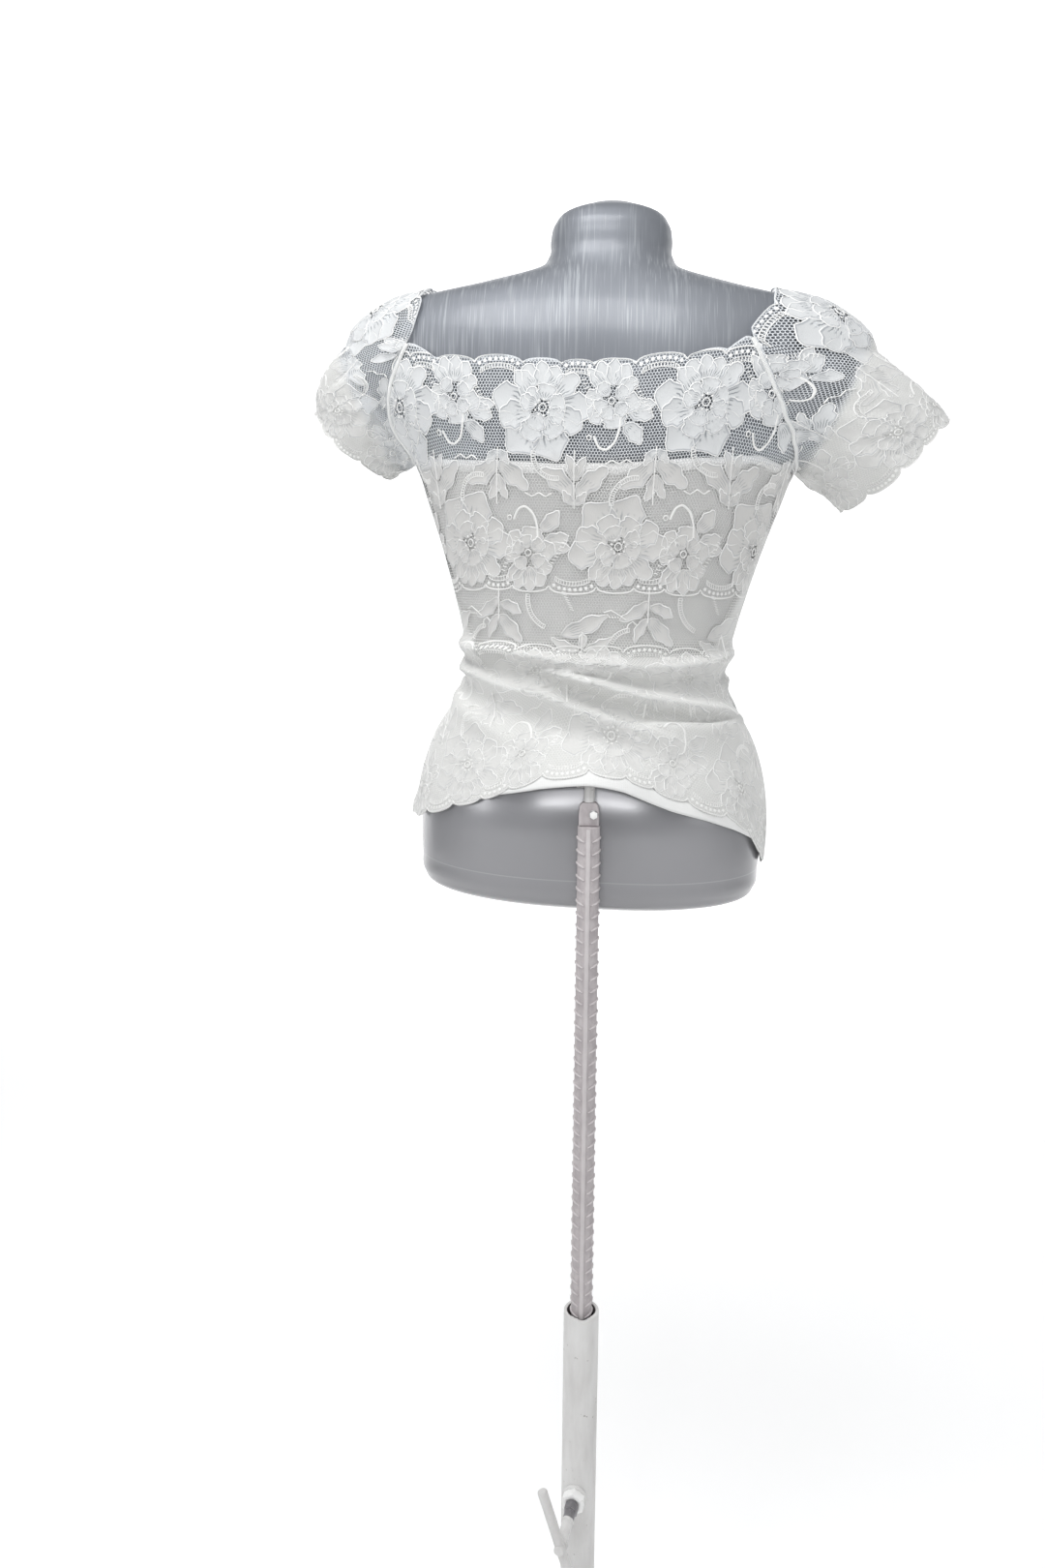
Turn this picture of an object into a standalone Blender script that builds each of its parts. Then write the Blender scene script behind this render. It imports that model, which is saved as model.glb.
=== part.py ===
"""A short lace top, worn by a limbless dress form on a height-adjustable stand.

Metres, +Z up. The garment's front faces -Y and its wearer's left is +X. The origin is on the
floor, under the stand's mast. Run it with blender --background --python part.py.
"""

import math
from collections import namedtuple

import bpy
import numpy as np
from mathutils import Vector
from mathutils.bvhtree import BVHTree

# Stand
BASE_RADIUS = 0.210
BASE_THICKNESS = 0.006
BASE_BEVEL = 0.0015
BASE_CENTRE_Y = -0.080
TUBE_RADIUS = 0.016
TUBE_WALL = 0.003
TUBE_TOP = 0.620
BAR_CORE = 0.0086
BAR_OVER_RIBS = 0.0099
BAR_BOTTOM = 0.150
BAR_TOP = 1.070
RIB_PITCH = 0.0110
RIB_SLANT = 0.45
RIBS_FROM = 0.575
BAR_TURNS = (90, 80, 30, -30, -80, -90, -100, -150, 150, 100)
CLAMP_HEIGHT = 0.4385
CLAMP_TURN = math.radians(11)
SCREW_RADIUS = 0.005
SCREW_PAST_HANDLE = 0.006
NUT_ACROSS_FLATS = 0.019
NUT_THICKNESS = 0.010
HANDLE_RADIUS = 0.0045
HANDLE_LENGTH = 0.110
HANDLE_REACH = 0.074
HANDLE_TILT = math.radians(18)
LUG_SIZE = (0.017, 0.009, 0.020)
LUG_BEVEL = 0.0025
BOLT_RADIUS = 0.0035
BOLT_HEIGHT = 0.003
BOLT_X = -0.004
HOOK_RADIUS = 0.0045
PLATE_SIZE = (0.024, 0.003, 0.022)
PLATE_GAP = 0.0007
PLATE_RISE = 0.132
PLATE_BEVEL = 0.0008
ROD_STRAIGHT = 0.003
ROD_STEPS = 7
ROD_ARCH = Vector((0, 0.0015, 0.0035))
SEAT_GAP = 0.0003

# Dress form: a loft of level sections, each given by its rise above the form's underside
FORM_BOTTOM = 0.985
FORM_AXIS_Y = -0.1275
SQUARENESS = 2.25
LEAN = 0.021
LEAN_PIVOT = 1.090
UNDERSIDE_TILT = 0.010
TILTED_RISE = 0.150
Section = namedtuple("Section", "rise half_width back front")
FORM_SECTIONS = [
    Section(0.000, 0.137, 0.084, 0.076),
    Section(0.004, 0.149, 0.095, 0.086),
    Section(0.013, 0.157, 0.102, 0.092),
    Section(0.030, 0.159, 0.107, 0.095),
    Section(0.060, 0.160, 0.111, 0.097),
    Section(0.095, 0.158, 0.112, 0.099),
    Section(0.118, 0.153, 0.107, 0.098),
    Section(0.145, 0.143, 0.098, 0.095),
    Section(0.172, 0.127, 0.087, 0.090),
    Section(0.186, 0.1195, 0.082, 0.0875),
    Section(0.200, 0.114, 0.0785, 0.086),
    Section(0.217, 0.1145, 0.0765, 0.0855),
    Section(0.235, 0.118, 0.076, 0.086),
    Section(0.279, 0.129, 0.079, 0.091),
    Section(0.320, 0.141, 0.084, 0.096),
    Section(0.358, 0.154, 0.089, 0.099),
    Section(0.386, 0.164, 0.092, 0.099),
    Section(0.398, 0.171, 0.093, 0.098),
    Section(0.418, 0.196, 0.094, 0.095),
    Section(0.442, 0.216, 0.094, 0.089),
    Section(0.466, 0.227, 0.093, 0.081),
    Section(0.486, 0.229, 0.091, 0.073),
    Section(0.500, 0.223, 0.087, 0.065),
    Section(0.514, 0.205, 0.081, 0.059),
    Section(0.526, 0.180, 0.074, 0.055),
    Section(0.538, 0.123, 0.066, 0.055),
    Section(0.552, 0.068, 0.056, 0.057),
    Section(0.566, 0.054, 0.049, 0.057),
    Section(0.580, 0.053, 0.046, 0.056),
    Section(0.592, 0.050, 0.042, 0.052),
    Section(0.603, 0.039, 0.031, 0.041),
    Section(0.6095, 0.020, 0.017, 0.026),
]
Swell = namedtuple("Swell", "side x rise spread_x spread_z depth")
SWELLS = [
    Swell("front", 0.076, 0.345, 0.040, 0.042, 0.030),
    Swell("back", 0.078, 0.445, 0.044, 0.055, 0.006),
    Swell("back", 0.072, 0.085, 0.048, 0.045, 0.008),
]

# Garment
WALL = 0.0010
LINING_OUT = 0.0014
LACE_OUT = 0.0040
SLEEVE_CLEAR = 0.0054
TURNED_EDGE = 0.0007
LINING_BAND = 0.010
HEM_BAND = 0.013
SEAM_GAP = 0.0003
SCALLOP_LENGTH = 0.036
SCALLOP_DEPTH = 0.0045
EDGE_STEPS = 5

# A panel's upper edge, as rises above the form's underside at angles from the wearer's left
# side seam. Between the two corners it is the scalloped neckline, and outside them the armhole.
Edge = namedtuple("Edge", "angle rise")
BACK_TOP = [
    Edge(0, 0.391), Edge(5, 0.395), Edge(13, 0.404), Edge(22, 0.416), Edge(29, 0.430),
    Edge(35, 0.445), Edge(41, 0.462), Edge(46, 0.480), Edge(54, 0.465), Edge(62, 0.462),
    Edge(79, 0.459), Edge(92, 0.459), Edge(98, 0.462), Edge(106, 0.466), Edge(113, 0.473),
    Edge(118, 0.484), Edge(121, 0.468), Edge(126, 0.448), Edge(134, 0.427), Edge(145, 0.412),
    Edge(160, 0.400), Edge(174, 0.392), Edge(180, 0.391),
]
FRONT_TOP = [
    Edge(180, 0.391), Edge(186, 0.392), Edge(202, 0.403), Edge(214, 0.424), Edge(223, 0.446),
    Edge(231, 0.470), Edge(240, 0.460), Edge(254, 0.446), Edge(268, 0.440), Edge(284, 0.441),
    Edge(300, 0.450), Edge(312, 0.461), Edge(319, 0.470), Edge(328, 0.446), Edge(337, 0.424),
    Edge(350, 0.401), Edge(356, 0.393), Edge(360, 0.391),
]
BACK_CORNERS = (46, 118)
FRONT_CORNERS = (231, 319)
LACE_HEM = [
    Edge(0, 0.070), Edge(18, 0.074), Edge(40, 0.090), Edge(58, 0.102), Edge(68, 0.113),
    Edge(77, 0.122), Edge(90, 0.126), Edge(98, 0.123), Edge(114, 0.111), Edge(125, 0.102),
    Edge(139, 0.090), Edge(150, 0.072), Edge(161, 0.050), Edge(180, 0.037), Edge(225, 0.040),
    Edge(270, 0.047), Edge(315, 0.057), Edge(360, 0.070),
]
LINING_HEM = [
    Edge(0, 0.074), Edge(33, 0.087), Edge(61, 0.103), Edge(77, 0.110), Edge(90, 0.113),
    Edge(98, 0.110), Edge(113, 0.097), Edge(125, 0.089), Edge(139, 0.078), Edge(153, 0.065),
    Edge(171, 0.050), Edge(180, 0.046), Edge(225, 0.050), Edge(270, 0.057), Edge(315, 0.066),
    Edge(360, 0.074),
]
LINING_TOP = [
    Edge(0, 0.384), Edge(27, 0.390), Edge(56, 0.386), Edge(80, 0.383), Edge(93, 0.384),
    Edge(114, 0.390), Edge(137, 0.396), Edge(160, 0.388), Edge(180, 0.384), Edge(225, 0.392),
    Edge(270, 0.384), Edge(315, 0.391), Edge(360, 0.384),
]

# Bunched cloth round the waist: each fold runs from one angle to another, at these rises
Fold = namedtuple("Fold", "start end rise_start rise_middle rise_end height half_width")
FOLDS = [
    Fold(-8, 188, 0.237, 0.222, 0.236, 0.0060, 0.0105),
    Fold(-6, 186, 0.222, 0.200, 0.158, 0.0066, 0.0110),
    Fold(-4, 158, 0.208, 0.180, 0.137, 0.0085, 0.0115),
    Fold(112, 190, 0.142, 0.134, 0.148, 0.0062, 0.0110),
    Fold(-4, 74, 0.186, 0.172, 0.160, 0.0036, 0.0090),
    Fold(172, 366, 0.232, 0.215, 0.234, 0.0058, 0.0090),
    Fold(176, 352, 0.180, 0.187, 0.212, 0.0070, 0.0100),
    Fold(192, 372, 0.156, 0.160, 0.190, 0.0064, 0.0100),
]
Flare = namedtuple("Flare", "angle spread rise spread_rise height")
FLARES = [
    Flare(0, 17, 0.070, 0.014, 0.005),
    Flare(300, 26, 0.050, 0.040, 0.005),
    Flare(238, 24, 0.040, 0.040, 0.004),
]
HOOK_TENT = Flare(90, 15, 0.112, 0.026, 0.0205)
RING_SPACING = 0.029
BACK_COLUMNS = (5, 10, 5)
FRONT_COLUMNS = (5, 10, 5)
UPPER_ROWS = 4
UPPER_SPAN = (0.375, 0.250)
FOLD_RISES = [0.245 - 0.009 * i for i in range(12)]
HEM_ROWS = 3
LINING_SPAN = (0.370, 0.130)
LINING_HEM_ROWS = 2

# Sleeves. Each neckline crosses the top of the shoulder at neck_x and each cuff is a loop about
# a centre, with one half axis towards its outer top edge and one towards the back.
Sleeve = namedtuple("Sleeve", "side neck_x cuff_centre cuff_up cuff_back scallops flutes flute")
SLEEVES = [
    Sleeve("left", 0.154, (0.229, -0.022, 0.409), (0.033, -0.028, 0.032), (0.016, 0.047, 0.004),
           9, 5, 0.0024),
    Sleeve("right", 0.141, (0.254, -0.004, 0.400), (0.042, -0.006, 0.040), (0.004, 0.052, -0.004),
           9, 5, 0.0030),
]
STUMP_TOP = (0.231, 0.0, 0.488)
STUMP_BOTTOM = (0.186, 0.0, 0.396)
STUMP_HALF_DEPTH = 0.066
SLEEVE_NECK_COLUMNS = 9
SLEEVE_ROWS = 9
CREASE_ROOM = 0.0025
CREASED_ROWS = 4
Stitch = namedtuple("Stitch", "point outward above")
Panel = namedtuple("Panel", "angles rows outward")

NUMERIC_STEP = 1e-4
SHARP_ANGLE = math.radians(40)


def hermite(xs, ys, x):
    """A smooth curve through a table's points, flat beyond its ends."""
    xs, ys = np.asarray(xs, float), np.asarray(ys, float)
    x = float(np.clip(x, xs[0], xs[-1]))
    i = int(np.clip(np.searchsorted(xs, x) - 1, 0, len(xs) - 2))
    slopes = np.gradient(ys, xs)
    width = xs[i + 1] - xs[i]
    t = (x - xs[i]) / width
    return (
        ys[i] * (1 + 2 * t) * (1 - t) ** 2
        + ys[i + 1] * t * t * (3 - 2 * t)
        + width * t * (1 - t) * (slopes[i] * (1 - t) - slopes[i + 1] * t)
    )


def along(edge, angle):
    """The rise of a named edge at an angle, from straight runs between its rows."""
    return float(np.interp(angle, [e.angle for e in edge], [e.rise for e in edge]))


def form_rings():
    """The form's ring heights: its sections, with more between any two that lie far apart."""
    rings = [FORM_SECTIONS[0].rise]
    for low, high in zip(FORM_SECTIONS, FORM_SECTIONS[1:]):
        count = math.ceil((high.rise - low.rise) / RING_SPACING)
        rings += [low.rise + (high.rise - low.rise) * (i + 1) / count for i in range(count)]
    return rings


def rings_between(high, low):
    return [rise for rise in form_rings()[::-1] if low < rise < high]


def section(rise):
    rises = [s.rise for s in FORM_SECTIONS]
    return [hermite(rises, [getattr(s, name) for s in FORM_SECTIONS], rise)
            for name in ("half_width", "back", "front")]


def swelling(x, rise, facing_back, bridged):
    """How far the form's bust, shoulder blades or seat stand out of a plain section."""
    total = 0.0
    for swell in SWELLS:
        if (swell.side == "back") != facing_back:
            continue
        level = math.exp(-((rise - swell.rise) / swell.spread_z) ** 2 / 2)
        apart = [abs(x - swell.x), abs(x + swell.x)]
        if bridged and abs(x) < swell.x:
            apart = [0.0]
        total += swell.depth * level * max(math.exp(-(a / swell.spread_x) ** 2 / 2) for a in apart)
    return total


def body_point(angle, rise, bridged):
    """A point on the dress form, or with bridged on cloth drawn tight over its hollows."""
    half_width, back, front = section(rise)
    c, s = math.cos(math.radians(angle)), math.sin(math.radians(angle))
    power = 2 / SQUARENESS
    x = half_width * math.copysign(abs(c) ** power, c)
    y = (back if s > 0 else front) * math.copysign(abs(s) ** power, s)
    y += math.copysign(swelling(x, rise, s > 0, bridged) * min(1.0, abs(s) * 1.6), s)
    return place(x, y, rise)


def place(x, y, rise):
    """A point given across, along and above the form's own leaning axis and its underside."""
    z = FORM_BOTTOM + rise
    tilt = LEAN + UNDERSIDE_TILT * max(0.0, 1 - rise / TILTED_RISE)
    return Vector((x - LEAN * (z - LEAN_PIVOT), y + FORM_AXIS_Y, z + tilt * x))


def body_normal(angle, rise, bridged=True):
    turn = math.degrees(NUMERIC_STEP * 10)
    across = body_point(angle + turn, rise, bridged) - body_point(angle - turn, rise, bridged)
    up = (body_point(angle, rise + NUMERIC_STEP, bridged)
          - body_point(angle, rise - NUMERIC_STEP, bridged))
    return across.cross(up).normalized()


def between(value, start, end):
    """1 between two angles, fading to 0 over the last tenth at each end."""
    share = (value - start) / (end - start)
    return float(np.clip(min(share, 1 - share) * 10, 0, 1))


def fold_height(angle, rise):
    total = 0.0
    for fold in FOLDS:
        for turned in (angle, angle - 360, angle + 360):
            fade = between(turned, fold.start, fold.end)
            if fade == 0:
                continue
            share = (turned - fold.start) / (fold.end - fold.start)
            centre = float(np.interp(share, (0, 0.5, 1),
                                     (fold.rise_start, fold.rise_middle, fold.rise_end)))
            away = (rise - centre) / fold.half_width
            total = max(total, fold.height * fade * math.exp(-away * away))
    return total


def flare_height(flare, angle, rise):
    away = (angle - flare.angle + 180) % 360 - 180
    down = max(0.0, rise - flare.rise)
    return (flare.height * math.exp(-(away / flare.spread) ** 2)
            * math.exp(-(down / flare.spread_rise) ** 2))


def cloth_point(angle, rise, out, folded):
    stand_off = out + flare_height(HOOK_TENT, angle, rise)
    if folded:
        stand_off += fold_height(angle, rise) + sum(flare_height(f, angle, rise) for f in FLARES)
    return body_point(angle, rise, True) + body_normal(angle, rise) * stand_off


def scallop(length):
    """The height of a scalloped edge at a distance along it: round arches with sharp roots."""
    share = (length / SCALLOP_LENGTH) % 1
    return SCALLOP_DEPTH * math.sqrt(max(0.0, 1 - (2 * share - 1) ** 2))


def new_object(name, vertices, faces, material):
    mesh = bpy.data.meshes.new(name)
    mesh.from_pydata([tuple(v) for v in vertices], [], faces)
    mesh.validate()
    mesh.materials.append(material)
    mesh.shade_smooth()
    mesh.set_sharp_from_angle(angle=SHARP_ANGLE)
    made = bpy.data.objects.new(name, mesh)
    parts.objects.link(made)
    return made


def paint(name, colour, roughness, metallic=0.0):
    material = bpy.data.materials.new(name)
    material.use_nodes = True
    shader = material.node_tree.nodes["Principled BSDF"]
    shader.inputs["Base Color"].default_value = (*colour, 1)
    shader.inputs["Roughness"].default_value = roughness
    shader.inputs["Metallic"].default_value = metallic
    return material


def wall(name, rows, outward, material, thick=None, loop=False):
    """A closed cloth wall over rows of points, each moved out along its own direction.

    Rows may differ in their number of points: where one has EDGE_STEPS times as many gaps as
    the next, each coarse gap takes one many-sided face. thick gives a wall per point.
    """
    starts, inner = [], []
    for row in rows:
        starts.append(len(inner))
        inner += row
    directions = [d for row in outward for d in row]
    walls = [WALL] * len(inner) if thick is None else [t for row in thick for t in row]
    outer = [p + d * t for p, d, t in zip(inner, directions, walls)]
    count = len(inner)
    faces = []
    border = {}

    def add(face):
        faces.append(face)
        for a, b in zip(face, face[1:] + face[:1]):
            border[a, b] = True

    for upper in range(len(rows) - 1):
        top, low = starts[upper], starts[upper + 1]
        gaps_top = len(rows[upper]) - (0 if loop else 1)
        gaps_low = len(rows[upper + 1]) - (0 if loop else 1)
        coarse = min(gaps_top, gaps_low)
        step_top, step_low = gaps_top // coarse, gaps_low // coarse
        for gap in range(coarse):
            over = [top + (gap * step_top + i) % len(rows[upper]) for i in range(step_top + 1)]
            under = [low + (gap * step_low + i) % len(rows[upper + 1])
                     for i in range(step_low + 1)]
            add(over[::-1] + under)
    outside = [[i + count for i in face] for face in faces]
    inside = [face[::-1] for face in faces]
    rims = [[a, b, b + count, a + count] for a, b in border if (b, a) not in border]
    return new_object(name, inner + outer, outside + inside + rims, material)


def grid_directions(rows, loop):
    """Outward directions for rows of points, from the faces round each point."""
    result = []
    for r, row in enumerate(rows):
        line = []
        for c, point in enumerate(row):
            last = len(row) - 1
            before = row[(c - 1) % len(row)] if loop else row[max(c - 1, 0)]
            after = row[(c + 1) % len(row)] if loop else row[min(c + 1, last)]
            above = matching(rows, r, max(r - 1, 0), c)
            below = matching(rows, r, min(r + 1, len(rows) - 1), c)
            line.append((after - before).cross(above - below).normalized())
        result.append(line)
    return result


def matching(rows, row, other, column):
    """The point of another row at the same share of its length."""
    if len(rows[row]) == len(rows[other]):
        return rows[other][column]
    spot = column * len(rows[other]) / len(rows[row])
    low = int(spot)
    high = min(low + 1, len(rows[other]) - 1)
    return rows[other][low].lerp(rows[other][high], spot - low)


def panel_angles(start, end, corners, columns):
    """A panel's column angles, with a column on each corner, and its side edges inset."""
    inset = math.degrees(SEAM_GAP / 2 / 0.15)
    stops = (start + inset, *corners, end - inset)
    found = [stops[0]]
    for low, high, count in zip(stops, stops[1:], columns):
        found += [low + (high - low) * (i + 1) / count for i in range(count)]
    return found


def finer(angles):
    found = []
    for low, high in zip(angles, angles[1:]):
        found += [low + (high - low) * i / EDGE_STEPS for i in range(EDGE_STEPS)]
    return found + angles[-1:]


def edge_lengths(angles, rises):
    """The running length of an edge on the cloth, at each of its angles."""
    points = [cloth_point(a, r, LACE_OUT, False) for a, r in zip(angles, rises)]
    lengths = [0.0]
    for before, after in zip(points, points[1:]):
        lengths.append(lengths[-1] + (after - before).length)
    return lengths


def neckline_rises(top, corners, angles):
    """An upper edge's rises: the armholes as they are, and scallops between the corners."""
    plain = [along(top, a) for a in angles]
    lengths = edge_lengths(angles, plain)
    within = [i for i, a in enumerate(angles) if corners[0] - 1e-6 <= a <= corners[1] + 1e-6]
    run = lengths[within[-1]] - lengths[within[0]]
    fitted = run / max(1, round(run / SCALLOP_LENGTH))
    for i in within:
        share = (lengths[i] - lengths[within[0]]) / fitted
        plain[i] += scallop(share * SCALLOP_LENGTH)
    return plain


def hem_rises(angles):
    plain = [along(LACE_HEM, a) for a in angles]
    lengths = edge_lengths(angles, plain)
    fitted = lengths[-1] / round(lengths[-1] / SCALLOP_LENGTH)
    return [r - scallop(length / fitted * SCALLOP_LENGTH) for r, length in zip(plain, lengths)]


def lace_panel(start, end, corners, columns, top):
    """The front or back of lace: its column angles, its rows of points and their directions."""
    angles = panel_angles(start, end, corners, columns)
    fine = finer(angles)
    top_rises = neckline_rises(top, corners, fine)
    levels = rings_between(*UPPER_SPAN) + FOLD_RISES
    rows = [list(zip(fine, top_rises))]
    for i in range(1, UPPER_ROWS + 1):
        share = i / (UPPER_ROWS + 1)
        rows.append([(a, along(top, a) * (1 - share) + levels[0] * share) for a in angles])
    rows += [[(a, rise) for a in angles] for rise in levels]
    for i in range(1, HEM_ROWS + 1):
        share = i / (HEM_ROWS + 1)
        rows.append([(a, levels[-1] * (1 - share) + along(LACE_HEM, a) * share)
                     for a in angles])
    rows.append(list(zip(fine, hem_rises(fine))))
    points = [[cloth_point(a, r, LACE_OUT, True) for a, r in row] for row in rows]
    outward = grid_directions(points, False)
    outward[0] = [body_normal(a, r) for a, r in rows[0]]
    for line, row in zip(outward, rows):
        line[0], line[-1] = body_normal(*row[0]), body_normal(*row[-1])
    return Panel(angles, points, outward)


def lining_panel(name, angles, material):
    """The strapless lining: a smooth tube half, with its top and hem turned double."""
    rows = [[(a, along(LINING_TOP, a) - drop) for a in angles] for drop in (0, LINING_BAND)]
    levels = rings_between(*LINING_SPAN)
    rows += [[(a, rise) for a in angles] for rise in levels]
    for i in range(1, LINING_HEM_ROWS + 1):
        share = i / (LINING_HEM_ROWS + 1)
        rows.append([(a, levels[-1] * (1 - share)
                      + (along(LINING_HEM, a) + HEM_BAND) * share) for a in angles])
    rows.append([(a, along(LINING_HEM, a) + HEM_BAND) for a in angles])
    rows.append([(a, along(LINING_HEM, a)) for a in angles])
    points = [[cloth_point(a, r, LINING_OUT, False) for a, r in row] for row in rows]
    outward = [[body_normal(a, r) for a, r in row] for row in rows]
    thick = [[WALL] * len(row) for row in rows]
    thick[0] = [WALL + TURNED_EDGE] * len(rows[0])
    thick[-1] = [WALL + TURNED_EDGE] * len(rows[-1])
    return wall(name, points, outward, material, thick)


def smooth_path(points, count):
    """Evenly spaced points on a smooth curve through a few guide points."""
    stops = [0.0]
    for before, after in zip(points, points[1:]):
        stops.append(stops[-1] + (after - before).length)
    fine = [Vector([hermite(stops, [p[axis] for p in points], stops[-1] * i / 60)
                    for axis in range(3)]) for i in range(61)]
    return resample(fine, count)


def resample(points, count):
    """count gaps of one length along a line of points."""
    lengths = [0.0]
    for before, after in zip(points, points[1:]):
        lengths.append(lengths[-1] + (after - before).length)
    wanted = np.linspace(0, lengths[-1], count + 1)
    return [Vector([np.interp(w, lengths, [p[axis] for p in points]) for axis in range(3)])
            for w in wanted]


def clear_of(tree, point, gap):
    """The point itself where it is clear of the form, and otherwise moved out of it."""
    near, normal, _, _ = tree.find_nearest(point)
    height = (point - near).dot(normal)
    return point if height > gap else near + normal * gap


def sleeve_neckline(sleeve, sign, back_corner, front_corner, tree):
    """The scalloped edge over the shoulder, from the back corner to the front corner."""
    lift = SLEEVE_CLEAR
    top = clear_of(tree, place(sign * sleeve.neck_x, 0, 0.524), lift)
    shares = (0.45, 0.55)
    back = back_corner * shares[0] + place(sign * sleeve.neck_x, 0.045, 0.516) * shares[1]
    front = front_corner * shares[0] + place(sign * sleeve.neck_x, -0.038, 0.514) * shares[1]
    guide = [back_corner, clear_of(tree, back, lift), top, clear_of(tree, front, lift),
             front_corner]
    line = smooth_path(guide, SLEEVE_NECK_COLUMNS * EDGE_STEPS)
    total = sum((b - a).length for a, b in zip(line, line[1:]))
    count = max(1, round(total / SCALLOP_LENGTH))
    centre = place(0, 0, 0.500)
    lifted = []
    for i, point in enumerate(line):
        inward = (centre - point)
        inward.y *= 0.3
        inward.normalize()
        reach = scallop(i / (len(line) - 1) * count * SCALLOP_LENGTH)
        lifted.append(clear_of(tree, point + inward * reach, lift) if 0 < i < len(line) - 1
                      else point)
    return lifted


def sleeve(row, panels, tree, material):
    """A short flared sleeve: round the armhole it meets both panels, and it ends in a cuff."""
    sign = 1 if row.side == "left" else -1
    back_seam, front_seam = panels
    neck = sleeve_neckline(row, sign, back_seam[-1].point, front_seam[0].point, tree)
    sewn = back_seam[:-1] + [None] * (len(neck) - 1) + front_seam[:-1]
    loop = [s.point for s in back_seam[:-1]] + neck[:-1] + [s.point for s in front_seam[:-1]]
    lengths = [0.0]
    for before, after in zip(loop, loop[1:] + loop[:1]):
        lengths.append(lengths[-1] + (after - before).length)
    turns = [2 * math.pi * length / lengths[-1] for length in lengths[:-1]]
    stump_low = place(sign * STUMP_BOTTOM[0], 0, STUMP_BOTTOM[2])
    stump_high = place(sign * STUMP_TOP[0], 0, STUMP_TOP[2])
    middle = (stump_low + stump_high) / 2
    half = (stump_high - stump_low) / 2
    centre = place(sign * row.cuff_centre[0], *row.cuff_centre[1:])
    up = Vector((sign * row.cuff_up[0], *row.cuff_up[1:]))
    back = Vector((sign * row.cuff_back[0], *row.cuff_back[1:]))
    down = -up.cross(back).normalized() * (1 if sign > 0 else -1)

    def cuff(turn, extra):
        point = centre - up * math.cos(turn) + back * math.sin(turn)
        return point + down * extra

    columns = []
    for i, (start, turn) in enumerate(zip(loop, turns)):
        stump = middle - half * math.cos(turn)
        stump = stump + Vector((0, STUMP_HALF_DEPTH * math.sin(turn), 0))
        stump = clear_of(tree, stump, SLEEVE_CLEAR)
        weight = 0.5 - 0.5 * math.cos(turn)
        end = cuff(turn, 0)
        through = start.lerp(end, 0.4).lerp(stump, weight)
        line = resample([start, through, end], SLEEVE_ROWS)
        columns.append(line)
    cells = len(loop) // EDGE_STEPS
    rows = [[columns[i][0] for i in range(len(loop))]]
    for r in range(1, SLEEVE_ROWS):
        share = r / SLEEVE_ROWS
        line = []
        for c in range(cells):
            column = columns[c * EDGE_STEPS]
            turn = turns[c * EDGE_STEPS]
            wave = row.flute * share ** 1.5 * math.sin(row.flutes * turn + 0.7)
            outward = (column[r] - middle.lerp(centre, share)).normalized()
            point = clear_of(tree, column[r] + outward * wave, SLEEVE_CLEAR)
            if sewn[c * EDGE_STEPS] and r <= CREASED_ROWS:
                point = clear_of_seam(sewn[c * EDGE_STEPS], point)
            line.append(point)
        rows.append(line)
    last = []
    for turn in turns:
        wave = row.flute * math.sin(row.flutes * turn + 0.7)
        share = turn / (2 * math.pi) * row.scallops
        point = cuff(turn, scallop(share * SCALLOP_LENGTH))
        last.append(point + (point - centre).normalized() * wave)
    rows.append(last)
    outward = grid_directions(rows, True)
    if (rows[4][0] - rows[4][len(rows[4]) // 2]).dot(outward[4][0]) < 0:
        outward = [[-d for d in line] for line in outward]
        flip = True
    else:
        flip = False
    for i, stitch in enumerate(sewn):
        if stitch:
            outward[0][i] = stitch.outward
    if flip:
        rows = [line[:1] + line[:0:-1] for line in rows]
        outward = [line[:1] + line[:0:-1] for line in outward]
    return wall("sleeve_" + row.side, rows, outward, material, loop=True)


def clear_of_seam(stitch, point):
    """A sleeve's point, kept from lying back on the panel where the sleeve folds at its seam."""
    away = point - stitch.point
    room = away.dot(stitch.above) + away.dot(stitch.outward) / 2
    return point + stitch.above * max(0.0, CREASE_ROOM - room)


def dress_form(material, angles):
    """A smooth limbless torso: level rings lofted between its sections."""
    rings = [[body_point(a, rise, False) for a in angles] for rise in form_rings()]
    vertices = [p for ring in rings for p in ring]
    count = len(angles)
    faces = []
    for r in range(len(rings) - 1):
        for c in range(count):
            after = (c + 1) % count
            faces.append([r * count + c, r * count + after,
                          (r + 1) * count + after, (r + 1) * count + c])
    faces.append(list(range(count))[::-1])
    faces.append([(len(rings) - 1) * count + c for c in range(count)])
    return new_object("dress_form", vertices, faces, material)


def turned(name, profile, steps, material, location=(0, 0, 0)):
    """A shape turned about Z from a profile that runs down its outer side."""
    mesh = bpy.data.meshes.new(name)
    count = len(profile)
    edges = [(i, (i + 1) % count) for i in range(count)]
    if profile[0][0] == 0:
        edges = edges[:-1]
    mesh.from_pydata([(r, 0, z) for r, z in profile], edges, [])
    mesh.materials.append(material)
    made = bpy.data.objects.new(name, mesh)
    parts.objects.link(made)
    made.location = location
    screw = made.modifiers.new("Screw", "SCREW")
    screw.steps = screw.render_steps = steps
    screw.use_merge_vertices = True
    screw.merge_threshold = 0.00005
    return made


def base_plate(material):
    profile = [(0, BASE_THICKNESS), (BASE_RADIUS - BASE_BEVEL, BASE_THICKNESS),
               (BASE_RADIUS, BASE_THICKNESS - BASE_BEVEL), (BASE_RADIUS, 0), (0, 0)]
    return turned("base_plate", profile, 48, material, (0, BASE_CENTRE_Y, 0))


def adopt(name, collection, location):
    """The object just added, named, placed and moved to a collection of its own."""
    made = bpy.context.object
    made.name = name
    made.location = location
    for owner in list(made.users_collection):
        owner.objects.unlink(made)
    collection.objects.link(made)
    return made


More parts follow.
